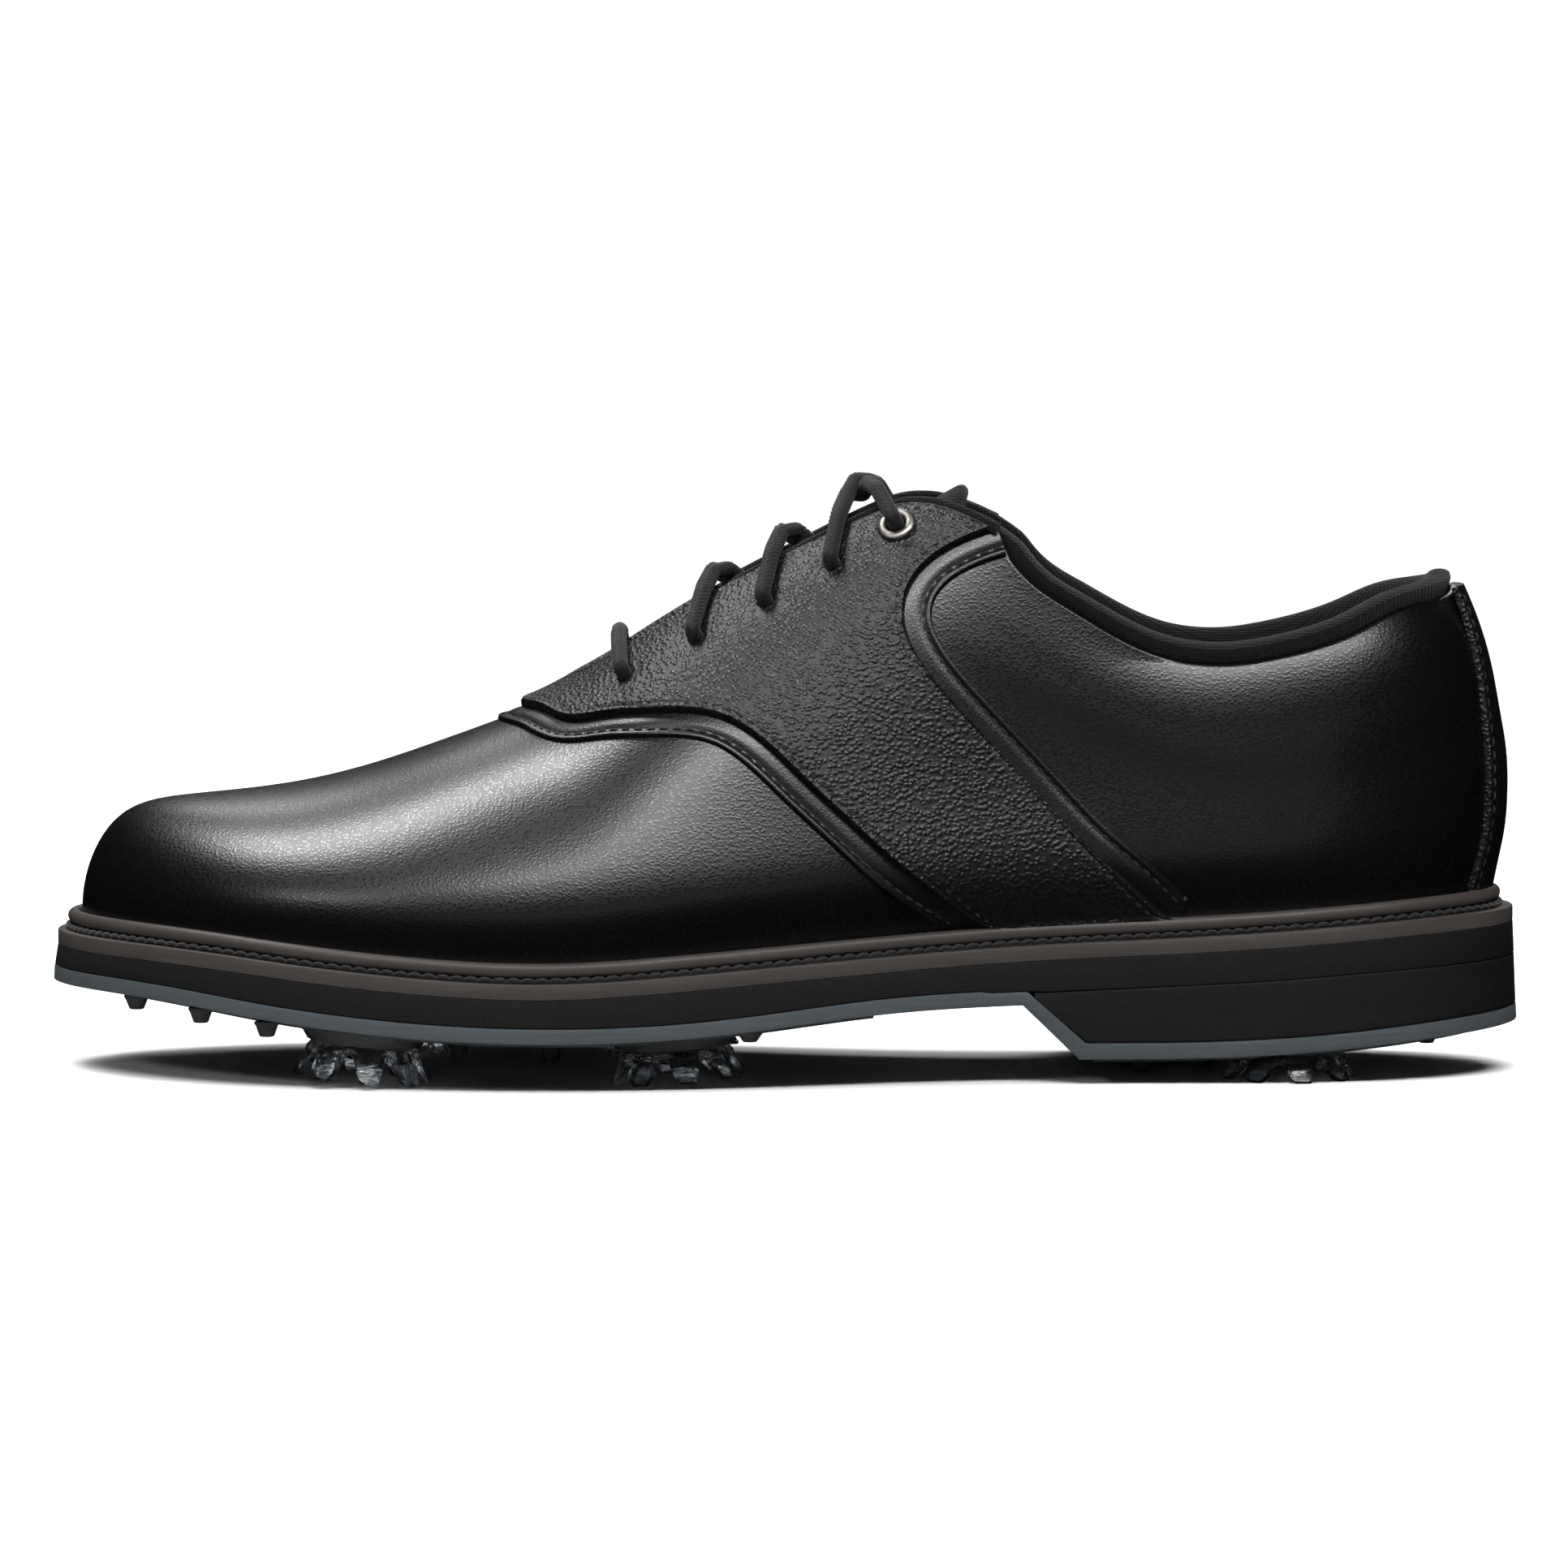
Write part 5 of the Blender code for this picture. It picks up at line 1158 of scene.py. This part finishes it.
# ---------------------------------------------------------------- stitches and lacing


STITCH_PITCH, STITCH_LENGTH, STITCH_R = 2.75, 2.0, 0.27


def add_stitches(name, rows):
    """Short stitches along (p, phi) curves at distances from the skin, their ends pulled into the leather."""
    parts = []
    bow = np.sin(np.linspace(0.12, math.pi - 0.12, 6))
    for curve, distance in rows:
        total = run_length(curve)
        middle = (np.arange(int(total / STITCH_PITCH)) + 0.5) * STITCH_PITCH
        for s in middle:
            spots = spots_along(curve, (s + np.linspace(-0.5, 0.5, 6) * STITCH_LENGTH) / total)
            path = layer(spots[:, 0], spots[:, 1], distance + 0.3 * bow - 0.22)
            parts.append(ring_mesh(tube_rings(path, STITCH_R * (0.55 + 0.45 * bow), 6)))
    return add_piece(name, *merged(parts), THREAD, slot="thread")


def spots_along(curve, shares_at):
    """Points of an evenly spaced (p, phi) curve at shares of its length."""
    key = np.linspace(0, 1, len(curve))
    return np.stack([np.interp(shares_at, key, curve[:, k]) for k in range(2)], -1)


def make_stitches(front, rear, throat):
    even = np.linspace(0, 1, 160)
    front, rear, throat = (resample(c, even) for c in (front, rear, throat))
    on_saddle, on_strip = SADDLE[1] - 0.2, 0.55
    rows = [("saddle_front_stitches", front[4:], 1.9, on_saddle),
            ("saddle_rear_stitches", rear[4:], -1.9, on_saddle),
            ("front_strip_stitches", front[4:], -3.75, on_strip),
            ("rear_strip_stitches", rear[4:], 3.75, on_strip),
            ("facing_stitches", throat[40:], 2.4, on_saddle)]
    for name, curve, shift, distance in rows:
        line_at = resample(moved(curve, shift), even)
        add_stitches(name, [(line_at, distance), (mirrored(line_at), distance)])


def eyelet_frames():
    """For each side and row, the hole's place on the skin and the outward axis."""
    spots = locate(EYELET_ROWS, [0, 2], SADDLE[1], 1.1)
    frames = {}
    for side, grid in (("lateral", spots), ("medial", mirrored(spots))):
        frames[side] = [(upper(p, f), skin_normal(p, f)) for p, f in grid]
    return spots, frames


def facing(point, axis):
    """A matrix with its Z along the hole's axis."""
    turn = Vector(axis).to_track_quat("Z", "Y").to_matrix().to_4x4()
    return Matrix.Translation(Vector(point)) @ turn


def along_facing(spots, row, side, inward, shift, distance):
    """A point beside an eyelet: inward is its share of the way to the ridge, shift is in rows."""
    rows = np.arange(len(spots))
    p = np.interp(row + shift, rows, spots[:, 0])
    phi = np.interp(row + shift, rows, spots[:, 1])
    phi = phi + (QUARTER_TURN - phi) * inward
    p = p if side == "lateral" else 2 - p
    return layer(p, phi, distance)


def hole_points(frames, side, row, inwards):
    """The lace's points through a hole, from inside to outside, or reversed."""
    point, axis = frames[side][row]
    out = LACE_OUT + (1.0 if row == len(EYELET_ROWS) - 1 else 0.0)
    run = [point + axis * d for d in (LACE_IN, 0.3, out)]
    return run[::-1] if inwards else run


def lace_path(spots, frames):
    """The whole lace: ends tucked inside at the top, criss-crossed from under, a straight bar at the toe."""
    other = {"lateral": "medial", "medial": "lateral"}

    def climb(side):
        """From under the bottom hole of this side up to its end, as a list of points."""
        path, here = [], side
        for row in range(1, 5):
            there, outside, last = other[here], row > 1, row == 4
            high = (row % 2) == (side == "lateral")
            start = LACE_OUT if outside else LACE_IN
            finish = LACE_OUT + 1.3 if last else LACE_IN
            edge = 4.3 if last else -3.4
            over, under = (5.2, 1.9) if last else (2.3, -1.0) if outside else (-0.7, -4.1)
            cross = over if high else under
            path += [along_facing(spots, row - 1, here, 0.4, 0.18, start)]
            path += [along_facing(spots, row - 1, here, 0.74, 0.34, start - 0.1 if outside else -3.4)]
            path += [along_facing(spots, row - 1, here, 0.985, 0.5, cross)]
            path += [along_facing(spots, row - 1, there, 0.74, 0.66, edge)]
            path += [along_facing(spots, row - 1, there, 0.4, 0.82, finish)]
            here = there
            path += hole_points(frames, here, row, inwards=last)
        path += [along_facing(spots, 4, here, -0.22, -0.25, LACE_IN)]
        path += [along_facing(spots, 4, here, -0.32, -0.6, LACE_IN)]
        path += [along_facing(spots, 4, here, -0.34, -1.0 - 0.35 * k, LACE_IN) for k in range(5)]
        return path

    bar = [along_facing(spots, 0, "lateral", a, s, LACE_OUT) for a, s in ((0.35, -0.12), (0.7, -0.22))]
    bar += [along_facing(spots, 0, "lateral", 0.99, -0.28, LACE_OUT - 0.6)]
    bar += [along_facing(spots, 0, "medial", a, s, LACE_OUT) for a, s in ((0.7, -0.22), (0.35, -0.12))]
    left = hole_points(frames, "lateral", 0, inwards=False)
    right = hole_points(frames, "medial", 0, inwards=True)
    return climb("lateral")[::-1] + left + bar + right + climb("medial")


def make_eyelets(frames):
    """The metal top eyelets, turned, with a rolled rim."""
    profile = [(1.95, 3.2), (2.02, 3.5), (2.25, 3.72), (2.6, 3.82), (3.1, 3.82), (3.6, 3.66), (3.95, 3.35),
               (4.08, 3.0), (4.0, 2.75), (2.55, 2.7), (2.5, -2.0), (3.4, -2.0), (3.3, -2.5), (1.95, -2.5)]
    for side in SIDES:
        point, axis = frames[side][-1]
        mesh = turned_mesh([(r, z - 0.35) for r, z in profile], 64, facing(point, axis), loop=True)
        add_piece(f"top_eyelet_{side}", *mesh, NICKEL, replaces=[f"eyelet_{side}_5"], slot="eyelet_metal")


def braid_relief(run, sides, strands=6, lay=1.2):
    """How high the strands of a round braid stand, from 0 to 1, at each place along it and round it."""
    turn = strands * np.arange(sides)[None, :] / sides
    step = (run / lay)[:, None]
    u, v = turn + step, turn - step + 1000
    over = (np.floor(u) + np.floor(v)) % 2 == 0
    return np.where(over, 1 - (2 * (u % 1) - 1) ** 2, 1 - (2 * (v % 1) - 1) ** 2)


def make_lace(spots, frames):
    path = np.array(lace_path(spots, frames))
    aglet = 5
    points, run = smooth_path(path[aglet:-aglet], 0.3)
    sides = 30
    # the strand heights shape the tube and also feed the lace finish's painted shade between strands
    relief = braid_relief(run, sides)
    rings = tube_rings(points, (LACE_R + 0.15) * (0.84 + 0.2 * relief), sides)
    add_piece("braided_lace", *ring_mesh(rings), LACE_YARN, replaces=["lace"], slot="textile", sharp=75,
              relief=relief)
    for name, end in (("aglet_medial", path[:aglet][::-1]), ("aglet_lateral", path[-aglet:])):
        start = end[0] + (end[1] - end[0]) * 0.12
        tube, _ = smooth_path(np.array([start, end[1], end[2]]), 0.8)
        radii = np.full(len(tube), LACE_R)
        radii[-2:] = (1.2, 0.7)
        add_piece(f"{name}_tip", *ring_mesh(tube_rings(tube, radii, 18)), PLATE_BLACK, replaces=[name],
                  slot="plate_plastic")


def make_upper():
    front, rear = to_welt(saddle_front_edge()), to_welt(saddle_rear_edge())
    throat, collar = rounded(throat_edge()), collar_edge()
    spots, frames = make_saddles(front, rear, throat)
    make_strips(front, rear)
    make_vamp(front)
    make_quarters(rear, collar)
    make_linings(front, collar)
    make_collar(collar)
    make_tongue()
    make_bindings(throat, rear)
    make_stitches(front, rear, throat)
    make_eyelets(frames)
    make_lace(spots, frames)


def finish_hidden_nodes():
    """Materials for the CAD nodes that stay: stiffeners, boards, receptacles and the inner eyelets."""
    for name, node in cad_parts.items():
        if node.hide_render:
            continue
        kinds = {"eyelet": DARK_METAL, "shank": STEEL, "receptacle": PLATE_BLACK, "saddle": LINING_CLOTH}
        chosen = kinds.get(name.split("_")[0], BOARD)
        node.data.materials.clear()
        node.data.materials.append(chosen)


# ---------------------------------------------------------------- studio


def make_floor():
    mesh = bpy.data.meshes.new("studio_floor")
    side = 6.0
    corners = [(-side, -side, 0), (side, -side, 0), (side, side, 0), (-side, side, 0)]
    mesh.from_pydata(corners, [], [(0, 1, 2, 3)])
    floor = bpy.data.objects.new("studio_floor", mesh)
    bpy.context.scene.collection.objects.link(floor)
    pale = Finish("pale_floor", (0.86, 0.86, 0.86), 0.9, Specular_IOR_Level=0.1)
    mottle = pale.noise((0.02, 0.02, 0.02), detail=2.0)
    pale.tint(pale.math("MULTIPLY", mottle.outputs["Fac"], 0.1), (0.84, 0.84, 0.84))
    see_through(pale)
    mesh.materials.append(pale.material)
    floor.visible_glossy = False


def see_through(finish):
    """Leaves the floor's underside out, so that the sole can be seen from below."""
    clear, mix = finish.node("ShaderNodeBsdfTransparent"), finish.node("ShaderNodeMixShader")
    finish.link(finish.node("ShaderNodeNewGeometry").outputs["Backfacing"], mix.inputs[0])
    finish.link(finish.shader.outputs[0], mix.inputs[1])
    finish.link(clear.outputs[0], mix.inputs[2])
    finish.link(mix.outputs[0], finish.tree.nodes["Material Output"].inputs["Surface"])


def softbox(name, place, aim, size, power):
    """An area light of a size in metres, aimed at a point. The camera doesn't see it."""
    data = bpy.data.lights.new(name, "AREA")
    data.shape, data.size, data.size_y, data.energy = "RECTANGLE", size[0], size[1], power
    light = bpy.data.objects.new(name, data)
    bpy.context.scene.collection.objects.link(light)
    light.location = place
    light.rotation_euler = (Vector(aim) - Vector(place)).to_track_quat("-Z", "Y").to_euler()
    light.visible_camera = False


def make_studio():
    make_floor()
    sky = bpy.data.objects.new("overhead", bpy.data.lights.new("overhead", "SUN"))
    bpy.context.scene.collection.objects.link(sky)
    sky.data.energy, sky.data.angle, sky.visible_glossy = 4.0, math.radians(70), False
    softbox("key", (-0.42, 0.2, 0.95), (-0.03, 0, 0.08), (0.34, 0.2), 5.5)
    softbox("topline", (0.1, -0.58, 0.8), (0.06, 0, 0.07), (0.8, 0.1), 8)
    softbox("toe_light", (-0.62, -0.62, 0.62), (-0.1, 0, 0.05), (0.22, 0.16), 1.2)
    softbox("rim", (0.1, 0.75, 0.75), (0.05, 0, 0.08), (0.9, 0.2), 4)
    softbox("front_fill", (0.0, -1.6, 0.25), (0, 0, 0.05), (1.6, 0.25), 0.7)
    world = bpy.data.worlds.new("studio")
    bpy.context.scene.world = world
    world.use_nodes = True
    world.node_tree.nodes["Background"].inputs["Color"].default_value = (1.0, 1.0, 1.0, 1.0)
    world.cycles_visibility.diffuse = False
    world.cycles_visibility.glossy = False
    world.cycles_visibility.transmission = False
    bpy.context.scene.view_settings.view_transform = "Standard"


def make_camera():
    """A long lens, level with the sole, square to the lateral side."""
    aim = Vector((0.0, 0.0, 0.0592))
    distance, elevation = 2.2, math.radians(4.5)
    data = bpy.data.cameras.new("camera")
    data.lens, data.sensor_width = 242.6, 36.0
    camera = bpy.data.objects.new("camera", data)
    bpy.context.scene.collection.objects.link(camera)
    back = Vector((0, -math.cos(elevation), math.sin(elevation)))
    camera.location = aim + back * distance
    camera.rotation_euler = (-back).to_track_quat("-Z", "Y").to_euler()
    bpy.context.scene.camera = camera


make_sole()
make_welt()
make_traction()
make_upper()
finish_hidden_nodes()
make_studio()
make_camera()
